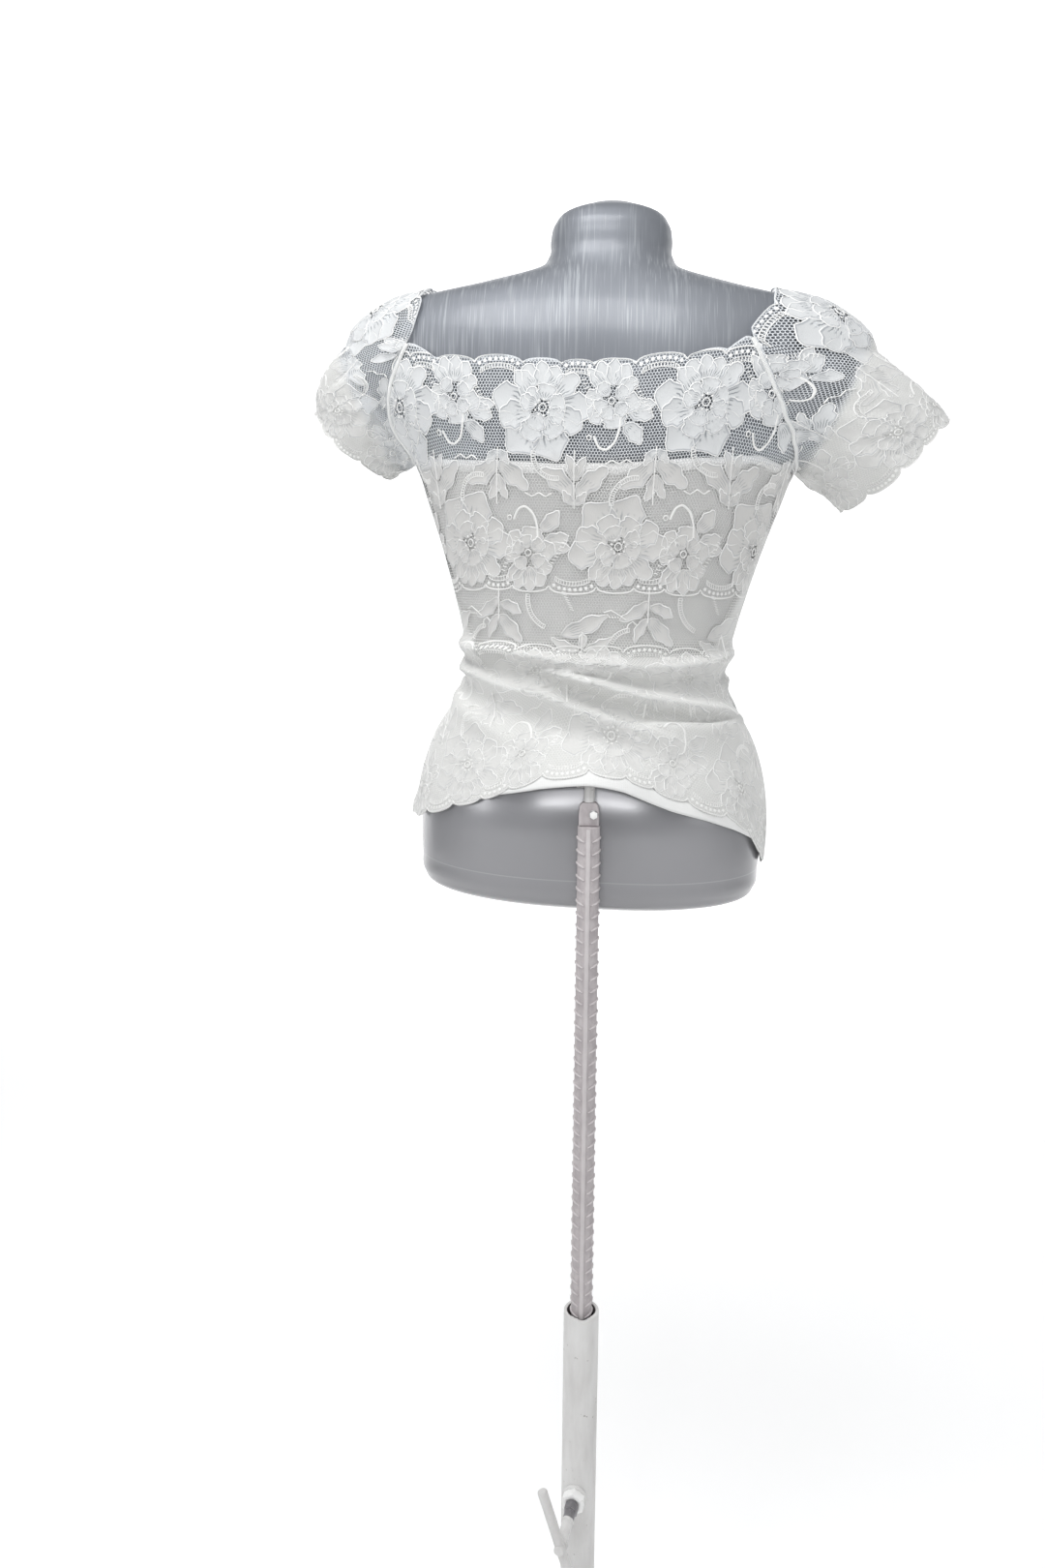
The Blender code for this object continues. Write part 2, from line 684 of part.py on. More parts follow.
def cylinder(name, radius, start, end, sides, material):
    """A plain round bar between two points. One without a material is a shape for cutting."""
    bpy.ops.mesh.primitive_cylinder_add(vertices=sides, radius=radius,
                                        depth=(end - start).length)
    made = adopt(name, parts if material else cutters, (start + end) / 2)
    made.rotation_euler = (end - start).to_track_quat("Z", "Y").to_euler()
    if material:
        made.data.materials.append(material)
    else:
        made.hide_render = True
    return made


def boolean(target, other, operation):
    modifier = target.modifiers.new(operation.title(), "BOOLEAN")
    modifier.operation = operation
    modifier.object = other


def clamp_axis():
    """The clamp screw's direction, level and towards the back."""
    return Vector((math.sin(CLAMP_TURN), math.cos(CLAMP_TURN), 0))


def clamp_point(distance):
    return Vector((0, 0, CLAMP_HEIGHT)) + clamp_axis() * distance


def outer_tube(material):
    low = BASE_THICKNESS + SEAT_GAP
    inner = TUBE_RADIUS - TUBE_WALL
    profile = [(TUBE_RADIUS, TUBE_TOP), (TUBE_RADIUS, low), (inner, low), (inner, TUBE_TOP)]
    made = turned("outer_tube", profile, 24, material)
    hole = cylinder("tube_hole", SCREW_RADIUS + SEAT_GAP, clamp_point(inner / 2),
                    clamp_point(TUBE_RADIUS * 2), 16, None)
    boolean(made, hole, "DIFFERENCE")
    return made


def clamp_nut(material):
    start = TUBE_RADIUS + SEAT_GAP
    made = cylinder("clamp_nut", NUT_ACROSS_FLATS / 2 / math.cos(math.radians(30)),
                    clamp_point(start), clamp_point(start + NUT_THICKNESS), 6, material)
    hole = cylinder("nut_hole", SCREW_RADIUS + SEAT_GAP, clamp_point(TUBE_RADIUS / 2),
                    clamp_point(start + NUT_THICKNESS * 2), 16, None)
    boolean(made, hole, "DIFFERENCE")
    return made


def clamp_screw(material):
    """The screw that presses on the bar, with its cross handle welded on."""
    tip = BAR_OVER_RIBS + SEAT_GAP
    made = cylinder("clamp_screw", SCREW_RADIUS, clamp_point(tip),
                    clamp_point(HANDLE_REACH + SCREW_PAST_HANDLE), 12, material)
    side = Vector((math.cos(CLAMP_TURN), -math.sin(CLAMP_TURN), 0))
    along_handle = Vector((0, 0, 1)) * math.cos(HANDLE_TILT) + side * math.sin(HANDLE_TILT)
    centre = clamp_point(HANDLE_REACH)
    handle = cylinder("handle_shape", HANDLE_RADIUS, centre - along_handle * HANDLE_LENGTH / 2,
                      centre + along_handle * HANDLE_LENGTH / 2, 12, None)
    boolean(made, handle, "UNION")
    return made


def bar_ring(height, ribbed):
    """One ring of the ribbed bar. Its cross ribs run down from the two long ribs."""
    line = []
    for degrees in BAR_TURNS:
        turn = math.radians(degrees)
        sideways = abs(math.cos(turn))
        radius = BAR_CORE
        if abs(degrees) == 90:
            radius = BAR_OVER_RIBS
        elif ribbed and abs(degrees) in (30, 150):
            radius = BAR_CORE + (BAR_OVER_RIBS - BAR_CORE) * sideways
        slanted = min(1.0, min(height - BAR_BOTTOM, BAR_TOP - height) / (RIB_PITCH / 2))
        drop = RIB_SLANT * RIB_PITCH * sideways * slanted
        line.append(Vector((radius * math.cos(turn), radius * math.sin(turn), height - drop)))
    return line


def ribbed_bar(material):
    """The height-adjusting mast: a reinforcing bar with two long ribs and slanted cross ribs."""
    rings = [bar_ring(BAR_BOTTOM, False), bar_ring(BAR_BOTTOM + RIB_PITCH / 2, True),
             bar_ring(RIBS_FROM, True)]
    for i in range(int((BAR_TOP - RIBS_FROM) / RIB_PITCH - 0.5)):
        height = RIBS_FROM + RIB_PITCH * (i + 0.5)
        rings += [bar_ring(height, False), bar_ring(height + RIB_PITCH / 2, True)]
    rings.append(bar_ring(BAR_TOP, False))
    vertices = [p for line in rings for p in line]
    sides = len(BAR_TURNS)
    faces = []
    for r in range(len(rings) - 1):
        for c in range(sides):
            after = (c + 1) % sides
            faces.append([r * sides + c, (r + 1) * sides + c,
                          (r + 1) * sides + after, r * sides + after])
    faces.append(list(range(sides)))
    faces.append([(len(rings) - 1) * sides + c for c in range(sides)][::-1])
    return new_object("ribbed_bar", vertices, faces, material)


def box(name, size, centre, material, bevel):
    bpy.ops.mesh.primitive_cube_add(size=1)
    made = adopt(name, parts, centre)
    for vertex in made.data.vertices:
        vertex.co = Vector([c * s for c, s in zip(vertex.co, size)])
    made.data.materials.append(material)
    rounded = made.modifiers.new("Bevel", "BEVEL")
    rounded.width = bevel
    rounded.segments = 2
    return made


def hook_and_plate(material, tree):
    """The lug on the bar's end, the bent rod and the plate that carries the form."""
    lug_low = BAR_TOP + SEAT_GAP
    box("lug", LUG_SIZE, (0, 0, lug_low + LUG_SIZE[2] / 2), material, LUG_BEVEL)
    plate_z = FORM_BOTTOM + PLATE_RISE
    near, normal, _, _ = tree.find_nearest(Vector((-LEAN * (plate_z - LEAN_PIVOT), 0, plate_z)))
    plate_centre = near + normal * (PLATE_SIZE[1] / 2 + PLATE_GAP)
    plate = box("form_plate", PLATE_SIZE, plate_centre, material, PLATE_BEVEL)
    plate.rotation_euler = (math.atan2(normal.z, normal.y), 0, 0)
    start = Vector((0, 0, lug_low + LUG_SIZE[2] + SEAT_GAP))
    end = plate_centre + normal * (PLATE_SIZE[1] / 2 + PLATE_GAP)
    path = bpy.data.curves.new("hook_rod", "CURVE")
    path.dimensions = "3D"
    path.bevel_depth = HOOK_RADIUS
    path.bevel_resolution = 2
    path.use_fill_caps = True
    spline = path.splines.new("POLY")
    rise, arrive = start + Vector((0, 0, ROD_STRAIGHT)), end + normal * ROD_STRAIGHT
    bend = rise.lerp(arrive, 0.5) + ROD_ARCH
    points = [start] + smooth_path([rise, bend, arrive], ROD_STEPS) + [end]
    spline.points.add(len(points) - 1)
    for point, at in zip(spline.points, points):
        point.co = (*at, 1)
    path.materials.append(material)
    parts.objects.link(bpy.data.objects.new("hook_rod", path))


def lug_bolt(material):
    face = LUG_SIZE[1] / 2 + SEAT_GAP
    height = BAR_TOP + SEAT_GAP + LUG_SIZE[2] / 2
    cylinder("lug_bolt", BOLT_RADIUS, Vector((BOLT_X, face, height)),
             Vector((BOLT_X, face + BOLT_HEIGHT, height)), 10, material)


def seam_line(panel, from_start, columns):
    """The sleeve's side of an armhole seam: points and directions, up to the panel's corner."""
    edge, outward = panel.rows[0], panel.outward[0]
    count = columns * EDGE_STEPS + 1
    kept = list(range(count)) if from_start else list(range(len(edge) - count, len(edge)))
    stitches = []
    for i in kept:
        run = edge[min(i + 1, kept[-1])] - edge[max(i - 1, kept[0])]
        above = outward[i].cross(run).normalized()
        stitches.append(Stitch(edge[i] + above * SEAM_GAP, outward[i], above))
    return stitches if from_start else stitches[::-1]


for old in list(bpy.data.objects):
    bpy.data.objects.remove(old)
parts = bpy.data.collections.new("lace_top_on_dress_form")
cutters = bpy.data.collections.new("cutters")
bpy.context.scene.collection.children.link(parts)
bpy.context.scene.collection.children.link(cutters)
cutters.hide_render = True

LACE = paint("lace", (0.90, 0.91, 0.90), 0.85)
KNIT = paint("lining_knit", (0.84, 0.85, 0.83), 0.75)
SILVER = paint("silver_plastic", (0.42, 0.43, 0.45), 0.32, 0.35)
WHITE_STEEL = paint("white_steel", (0.75, 0.74, 0.73), 0.5)
BARE_STEEL = paint("bare_steel", (0.55, 0.54, 0.53), 0.5, 0.8)

back = lace_panel(0, 180, BACK_CORNERS, BACK_COLUMNS, BACK_TOP)
front = lace_panel(180, 360, FRONT_CORNERS, FRONT_COLUMNS, FRONT_TOP)
form = dress_form(SILVER, back.angles + front.angles)
form_tree = BVHTree.FromPolygons([v.co for v in form.data.vertices],
                                 [list(p.vertices) for p in form.data.polygons])
wall("lace_back", back.rows, back.outward, LACE)
wall("lace_front", front.rows, front.outward, LACE)
lining_panel("lining_back", back.angles, KNIT)
lining_panel("lining_front", front.angles, KNIT)
left_seams = (seam_line(back, True, BACK_COLUMNS[0]),
              seam_line(front, False, FRONT_COLUMNS[2])[::-1])
right_seams = (seam_line(back, False, BACK_COLUMNS[2]),
               seam_line(front, True, FRONT_COLUMNS[0])[::-1])
sleeve(SLEEVES[0], left_seams, form_tree, LACE)
sleeve(SLEEVES[1], right_seams, form_tree, LACE)

base_plate(WHITE_STEEL)
outer_tube(WHITE_STEEL)
clamp_nut(WHITE_STEEL)
clamp_screw(BARE_STEEL)
ribbed_bar(WHITE_STEEL)
hook_and_plate(WHITE_STEEL, form_tree)
lug_bolt(BARE_STEEL)
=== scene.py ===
# %% [markdown]
# # A lace top on its dress form
# The object is a short white top of stretch lace over a plain strapless lining. It is worn by a
# silver-grey dress form without limbs, on a white stand that is set to height with a clamp.
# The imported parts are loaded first. They fix the sizes and the places of everything below.

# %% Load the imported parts
import math
from collections import namedtuple

import bmesh
import bpy
import numpy as np
from mathutils import Matrix, Vector
from mathutils.bvhtree import BVHTree


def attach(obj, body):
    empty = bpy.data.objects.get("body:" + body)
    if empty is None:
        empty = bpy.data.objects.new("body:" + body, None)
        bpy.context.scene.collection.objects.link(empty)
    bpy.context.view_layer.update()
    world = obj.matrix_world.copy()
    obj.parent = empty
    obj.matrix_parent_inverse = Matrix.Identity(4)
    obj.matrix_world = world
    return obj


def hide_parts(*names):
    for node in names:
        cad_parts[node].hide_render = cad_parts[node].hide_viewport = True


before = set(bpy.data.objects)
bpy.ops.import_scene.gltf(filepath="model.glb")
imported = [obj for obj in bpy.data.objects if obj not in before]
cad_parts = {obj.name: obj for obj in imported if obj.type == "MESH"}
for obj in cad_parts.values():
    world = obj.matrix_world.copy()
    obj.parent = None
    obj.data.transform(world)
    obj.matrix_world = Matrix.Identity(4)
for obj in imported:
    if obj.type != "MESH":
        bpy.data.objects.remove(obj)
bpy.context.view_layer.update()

print("parts:", ", ".join(sorted(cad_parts)))

# %% [markdown]
# ## The camera
# The photograph looks at the garment's back from a little above the waist, turned down by ten
# degrees. The camera is placed from three named turns, so that its view can be checked against
# the picture's own edges.

# %% Camera
IMAGE_HEIGHT = 1620
FOCAL_PIXELS = 1170
CAMERA_PLACE = Vector((-0.014, 0.935, 1.27))
CAMERA_PITCH = math.radians(10)
CAMERA_YAW = math.radians(4.2958)
CAMERA_ROLL = math.radians(0.3)

ahead = Vector((math.sin(CAMERA_YAW) * math.cos(CAMERA_PITCH),
                -math.cos(CAMERA_YAW) * math.cos(CAMERA_PITCH), -math.sin(CAMERA_PITCH)))
right = ahead.cross(Vector((0, 0, 1))).normalized()
above = right.cross(ahead)
rolled_right = right * math.cos(CAMERA_ROLL) + above * math.sin(CAMERA_ROLL)
rolled_up = above * math.cos(CAMERA_ROLL) - right * math.sin(CAMERA_ROLL)
turned = Matrix((rolled_right, rolled_up, -ahead)).transposed().to_4x4()
lens = bpy.data.cameras.new("view")
lens.sensor_fit = "VERTICAL"
lens.sensor_height = 36
lens.lens = FOCAL_PIXELS / IMAGE_HEIGHT * lens.sensor_height
camera = bpy.data.objects.new("view", lens)
camera.matrix_world = Matrix.Translation(CAMERA_PLACE) @ turned
bpy.context.scene.collection.objects.link(camera)
bpy.context.scene.camera = camera
print("camera lens, mm:", round(lens.lens, 2))

# %% [markdown]
# ## Node materials
# A shader's arithmetic is easier to read as a sum than as a chain of nodes. A wire stands for
# one socket and adds, multiplies and compares like a number, and each sign makes one node.

# %% Wires and recipes
def math_sign(operation, swapped=False):
    """The method behind an arithmetic sign. It makes one node of Blender's maths."""
    def method(self, other):
        return self.recipe.node("ShaderNodeMath", {"operation": operation},
                                [other, self] if swapped else [self, other])
    return method


class Wire:
    """One output socket that takes part in arithmetic."""

    __add__ = __radd__ = math_sign("ADD")
    __mul__ = __rmul__ = math_sign("MULTIPLY")
    __sub__, __rsub__ = math_sign("SUBTRACT"), math_sign("SUBTRACT", swapped=True)
    __lt__, __gt__ = math_sign("LESS_THAN"), math_sign("GREATER_THAN")

    def __init__(self, recipe, socket):
        self.recipe, self.socket = recipe, socket

    def math(self, operation, *others):
        return self.recipe.node("ShaderNodeMath", {"operation": operation}, [self, *others])


class Recipe:
    """A material made of nodes, ending in one Principled shader."""

    def __init__(self, name, **constants):
        self.material = bpy.data.materials.new(name)
        self.material.use_nodes = True
        self.nodes = self.material.node_tree.nodes
        self.links = self.material.node_tree.links
        self.shader = self.nodes["Principled BSDF"]
        for socket, value in constants.items():
            self.shader.inputs[socket.replace("_", " ")].default_value = value

    def node(self, kind, settings=None, inputs=(), output=0):
        """Any node: its settings, then values or wires for its inputs by order or by name."""
        made = self.nodes.new(kind)
        for name, value in (settings or {}).items():
            setattr(made, name, value)
        pairs = inputs.items() if isinstance(inputs, dict) else enumerate(inputs)
        for key, value in pairs:
            if isinstance(value, Wire):
                self.links.new(value.socket, made.inputs[key])
            else:
                made.inputs[key].default_value = value
        return Wire(self, made.outputs[output])

    def mix(self, factor, first, second):
        """One colour turning into another."""
        return self.node("ShaderNodeMix", {"data_type": "RGBA"},
                         {0: factor, 6: first, 7: second}, output=2)

    def ramp(self, value, low, high):
        """0 below low, 1 above high, and smooth between."""
        return self.node("ShaderNodeMapRange", {"interpolation_type": "SMOOTHSTEP"},
                         [value, low, high, 0.0, 1.0])

    def noise(self, vector, scale, detail=2.0, rough=0.5):
        """Soft chance values. A scale of three numbers stretches them."""
        if isinstance(scale, tuple):
            vector = self.node("ShaderNodeMapping", {}, {"Vector": vector, "Scale": scale})
            scale = 1.0
        return self.node("ShaderNodeTexNoise", {}, {"Vector": vector, "Scale": scale,
                                                    "Detail": detail, "Roughness": rough})

    def joined(self, *numbers):
        """Three numbers or wires as one vector."""
        return self.node("ShaderNodeCombineXYZ", {}, numbers)

    def parts(self, vector):
        """The three numbers of a vector."""
        split = self.node("ShaderNodeSeparateXYZ", {}, [vector])
        return [Wire(self, socket) for socket in split.socket.node.outputs]

    def object_space(self):
        return self.node("ShaderNodeTexCoord", output=3)

    def attribute(self, name):
        """The three numbers that a piece keeps at each of its points."""
        return self.parts(self.node("ShaderNodeAttribute", {"attribute_name": name}, output=1))

    def feed(self, socket, wire):
        self.links.new(wire.socket, self.shader.inputs[socket])

    def finish(self, base, roughness, height, distance, strength):
        """Colour, roughness and relief into the shader. Gives the material."""
        self.feed("Base Color", base)
        self.feed("Roughness", roughness)
        self.feed("Normal", self.node("ShaderNodeBump", {}, {
            "Height": height, "Distance": distance, "Strength": strength}))
        return self.material


print("node materials ready")

# %% [markdown]
# ## Room
# The floor runs up into a wall behind the object in one soft curve, as a paper roll does in a
# studio, so that no line crosses the picture. It could be a plane and a white world, but then
# the contact shadow would have no floor on the far side.

# %% Pale floor and wall
def pale_paper():
    """White paper with a faint glow of its own, weaker on the floor than on the wall."""
    recipe = Recipe("pale_paper", Base_Color=(0.9, 0.9, 0.9, 1), Roughness=0.9,
                    Emission_Strength=1.0)
    _, _, height = recipe.parts(recipe.object_space())
    recipe.feed("Emission Color",
                recipe.node("ShaderNodeMapRange", {}, [height, 0.0, 0.8, 0.27, 0.84]))
    return recipe.material


FLOOR_HALF_WIDTH = 3.2
FLOOR_NEAR = 2.4
WALL_AT = -2.2
WALL_HEIGHT = 3.2
SWEEP_RADIUS = 0.9
SWEEP_STEPS = 24

profile = [(FLOOR_NEAR, 0.0)]
for step in range(SWEEP_STEPS + 1):
    turn = math.pi / 2 * step / SWEEP_STEPS
    profile.append((WALL_AT + SWEEP_RADIUS * (1 - math.sin(turn)),
                    SWEEP_RADIUS * (1 - math.cos(turn))))
profile.append((WALL_AT, WALL_HEIGHT))
corners = [(x, y, z) for y, z in profile for x in (-FLOOR_HALF_WIDTH, FLOOR_HALF_WIDTH)]
strips = [(2 * i, 2 * i + 1, 2 * i + 3, 2 * i + 2) for i in range(len(profile) - 1)]
backdrop_mesh = bpy.data.meshes.new("backdrop")
backdrop_mesh.from_pydata(corners, [], strips)
backdrop_mesh.shade_smooth()
backdrop = bpy.data.objects.new("backdrop", backdrop_mesh)
bpy.context.scene.collection.objects.link(backdrop)
backdrop_mesh.materials.append(pale_paper())
print("backdrop strips:", len(strips))

# %% [markdown]
# ## Light
# One large soft light hangs high on the camera's side, one on each side fills the shadows, and
# a wide strip behind the camera gives the plastic its shine. A pale world lifts the rest.

# %% Studio lights
def soft_light(name, place, target, size, power):
    lamp = bpy.data.lights.new(name, "AREA")
    lamp.shape = "RECTANGLE"
    lamp.size, lamp.size_y = size
    lamp.energy = power
    holder = bpy.data.objects.new(name, lamp)
    holder.location = place
    holder.rotation_euler = (Vector(target) - Vector(place)).to_track_quat("-Z", "Y").to_euler()
    bpy.context.scene.collection.objects.link(holder)
    return holder


soft_light("ceiling_light", (0.35, 0.70, 2.85), (0, -0.1, 1.25), (1.2, 0.8), 24)
soft_light("left_light", (2.0, 1.0, 1.7), (0, -0.1, 1.1), (0.9, 1.5), 13)
soft_light("right_light", (-2.0, 0.8, 1.6), (0, -0.1, 1.1), (0.9, 1.5), 11)
soft_light("high_light", (0.05, 2.5, 1.75), (0, 0, 1.0), (0.9, 0.35), 12)
bpy.context.scene.view_settings.view_transform = "Standard"
world = bpy.data.worlds.new("studio")
bpy.context.scene.world = world
world.use_nodes = True
world.node_tree.nodes["Background"].inputs["Color"].default_value = (0.95, 0.97, 1.0, 1)
world.node_tree.nodes["Background"].inputs["Strength"].default_value = 0.23

# %% [markdown]
# ## The dress form's surface
# Every sheet of cloth lies on the form, so the form is written as a function first: an angle
# round the body and a rise above its underside give a point. A table of level sections holds
# the real half width and the depth to the back and to the front at each rise. Swells add the
# bust, the shoulder blades and the seat.

# %% Form sections
FORM_BOTTOM = 0.985
FORM_AXIS_Y = -0.1275
SQUARENESS = 2.25
LEAN = 0.021
LEAN_PIVOT = 1.090
UNDERSIDE_TILT = 0.010
TILTED_RISE = 0.150
Section = namedtuple("Section", "rise half_width back front")
FORM_SECTIONS = [Section(*row) for row in (
    (0.000, 0.137, 0.084, 0.076), (0.004, 0.149, 0.095, 0.086),
    (0.013, 0.157, 0.102, 0.092), (0.030, 0.159, 0.107, 0.095),
    (0.060, 0.160, 0.111, 0.097), (0.095, 0.158, 0.112, 0.099),
    (0.118, 0.153, 0.107, 0.098), (0.145, 0.143, 0.098, 0.095),
    (0.172, 0.127, 0.087, 0.090), (0.186, 0.1195, 0.082, 0.0875),
    (0.200, 0.114, 0.0785, 0.086), (0.217, 0.1145, 0.0765, 0.0855),
    (0.235, 0.118, 0.076, 0.086), (0.279, 0.129, 0.079, 0.091),
    (0.320, 0.141, 0.084, 0.096), (0.358, 0.154, 0.089, 0.099),
    (0.386, 0.164, 0.092, 0.099), (0.398, 0.171, 0.093, 0.098),
    (0.418, 0.196, 0.094, 0.095), (0.442, 0.216, 0.094, 0.089),
    (0.466, 0.227, 0.093, 0.081), (0.486, 0.229, 0.091, 0.073),
    (0.500, 0.223, 0.087, 0.065), (0.514, 0.205, 0.081, 0.059),
    (0.526, 0.180, 0.074, 0.055), (0.538, 0.123, 0.066, 0.055),
    (0.552, 0.068, 0.056, 0.057), (0.566, 0.054, 0.049, 0.057),
    (0.580, 0.053, 0.046, 0.056), (0.592, 0.050, 0.042, 0.052),
    (0.603, 0.039, 0.031, 0.041), (0.6095, 0.020, 0.017, 0.026),
)]
Swell = namedtuple("Swell", "side x rise spread_x spread_z depth")
SWELLS = [
    Swell("front", 0.076, 0.345, 0.040, 0.042, 0.030),
    Swell("back", 0.078, 0.445, 0.044, 0.055, 0.006),
    Swell("back", 0.072, 0.085, 0.048, 0.045, 0.008),
]
print("level sections:", len(FORM_SECTIONS), "and swells:", len(SWELLS))

# %% [markdown]
# A curve through the table gives the sizes between its sections. Each section is a soft oval,
# squarer than an ellipse, and the whole form leans a little on its stand. The functions take
# whole arrays, because they are asked for hundreds of thousands of points.

# %% Points and directions on the body
def smooth_curve(xs, ys, x):
    """A smooth curve through a table's points, flat beyond its ends."""
    xs, ys = np.asarray(xs, float), np.asarray(ys, float)
    x = np.clip(x, xs[0], xs[-1])
    i = np.clip(np.searchsorted(xs, x) - 1, 0, len(xs) - 2)
    slopes = np.gradient(ys, xs)
    width = xs[i + 1] - xs[i]
    t = (x - xs[i]) / width
    return (ys[i] * (1 + 2 * t) * (1 - t) ** 2 + ys[i + 1] * t * t * (3 - 2 * t)
            + width * t * (1 - t) * (slopes[i] * (1 - t) - slopes[i + 1] * t))


def place(x, y, rise):
    """A point given across, along and above the form's own leaning axis and its underside."""
    z = FORM_BOTTOM + rise
    tilt = LEAN + UNDERSIDE_TILT * np.maximum(0.0, 1 - rise / TILTED_RISE)
    return np.stack([x - LEAN * (z - LEAN_PIVOT), y + FORM_AXIS_Y, z + tilt * x], axis=-1)


def swelling(x, rise, at_back, bridged):
    """How far the bust, shoulder blades or seat stand out. Bridged cloth spans their hollow."""
    total = np.zeros_like(x)
    for swell in SWELLS:
        apart = np.abs(np.abs(x) - swell.x)
        if bridged:
            apart = np.where(np.abs(x) < swell.x, 0, apart)
        level = np.exp(-((rise - swell.rise) / swell.spread_z) ** 2 / 2)
        hill = swell.depth * level * np.exp(-(apart / swell.spread_x) ** 2 / 2)
        total += np.where(at_back == (swell.side == "back"), hill, 0)
    return total


def body(angle, rise, bridged=True):
    """Points on the dress form. 0 degrees is the wearer's left and 90 the middle of the back."""
    angle, rise = np.broadcast_arrays(np.asarray(angle, float), np.asarray(rise, float))
    rises = [s.rise for s in FORM_SECTIONS]
    half, back, front = (smooth_curve(rises, [getattr(s, name) for s in FORM_SECTIONS], rise)
                         for name in ("half_width", "back", "front"))
    c, s = np.cos(np.radians(angle)), np.sin(np.radians(angle))
    x = half * np.copysign(np.abs(c) ** (2 / SQUARENESS), c)
    y = np.where(s > 0, back, front) * np.copysign(np.abs(s) ** (2 / SQUARENESS), s)
    y = y + np.copysign(swelling(x, rise, s > 0, bridged) * np.minimum(1, np.abs(s) * 1.6), s)
    return place(x, y, rise)


def unit(vectors):
    return vectors / np.maximum(np.linalg.norm(vectors, axis=-1, keepdims=True), 1e-9)


def outward(angle, rise):
    """Directions straight out of the body at its points."""
    turn, step = 0.06, 1e-4
    across = body(angle + turn, rise) - body(angle - turn, rise)
    up = body(angle, rise + step) - body(angle, rise - step)
    return unit(np.cross(across, up))


waist = body([0, 180], 0.200)
print("waist across, m:", round(float(np.linalg.norm(waist[0] - waist[1])), 3))

# %% [markdown]
# ## Edges of the cloth
# The pattern pieces are cut along named edges, and the cloth between two edges is a grid. Each
# edge is a short table that gives the rise at some angles. The lace has a neckline with armholes
# beside it, and a hem that dips at one side. The lining's hem shows a little below it in the
# middle of the back.

# %% Edges of the pieces
BACK_TOP = {
    0: 0.391, 5: 0.395, 13: 0.404, 22: 0.416, 29: 0.430,
    35: 0.445, 41: 0.462, 46: 0.480, 54: 0.465, 62: 0.462,
    79: 0.459, 92: 0.459, 98: 0.462, 106: 0.466, 113: 0.473,
    118: 0.484, 121: 0.468, 126: 0.448, 134: 0.427, 145: 0.412,
    160: 0.400, 174: 0.392, 180: 0.391,
}
FRONT_TOP = {
    180: 0.391, 186: 0.392, 202: 0.403, 214: 0.424, 223: 0.446,
    231: 0.470, 240: 0.460, 254: 0.446, 268: 0.440, 284: 0.441,
    300: 0.450, 312: 0.461, 319: 0.470, 328: 0.446, 337: 0.424,
    350: 0.401, 356: 0.393, 360: 0.391,
}
LACE_HEM = {
    0: 0.070, 18: 0.074, 40: 0.090, 58: 0.102, 68: 0.113,
    77: 0.122, 90: 0.126, 98: 0.123, 114: 0.111, 125: 0.102,
    139: 0.090, 150: 0.072, 161: 0.050, 180: 0.037, 225: 0.040,
    270: 0.047, 315: 0.057, 360: 0.070,
}
LINING_HEM = {
    0: 0.074, 33: 0.087, 61: 0.103, 77: 0.110, 90: 0.113,
    98: 0.110, 113: 0.097, 125: 0.089, 139: 0.078, 153: 0.065,
    171: 0.050, 180: 0.046, 225: 0.050, 270: 0.057, 315: 0.066,
    360: 0.074,
}
LINING_TOP = {
    0: 0.384, 27: 0.390, 56: 0.386, 80: 0.383, 93: 0.384,
    114: 0.390, 137: 0.396, 160: 0.388, 180: 0.384, 225: 0.392,
    270: 0.384, 315: 0.391, 360: 0.384,
}
BACK_CORNERS = (46, 118)
FRONT_CORNERS = (231, 319)


def along(edge, angle):
    """The rise of a named edge at an angle."""
    return np.interp(angle, list(edge), list(edge.values()))


print("lace hem's rise in the middle of the back, m:", round(float(along(LACE_HEM, 90)), 3))

# %% [markdown]
# ## Folds of the cloth
# The lace is longer than the body and bunches round the waist. A simulation could drop it into
# folds, but not into these ones. Here a fold is a ridge along a line of places on the body, with
# its own height and its own slopes above and below. Each place is an angle, a rise and a share
# of the height. Folds are lower at the sides. Where two meet, the higher one wins, which leaves
# a sharp crease. Flares hold the hem away from the body, and a tent of cloth spans the hook rod.

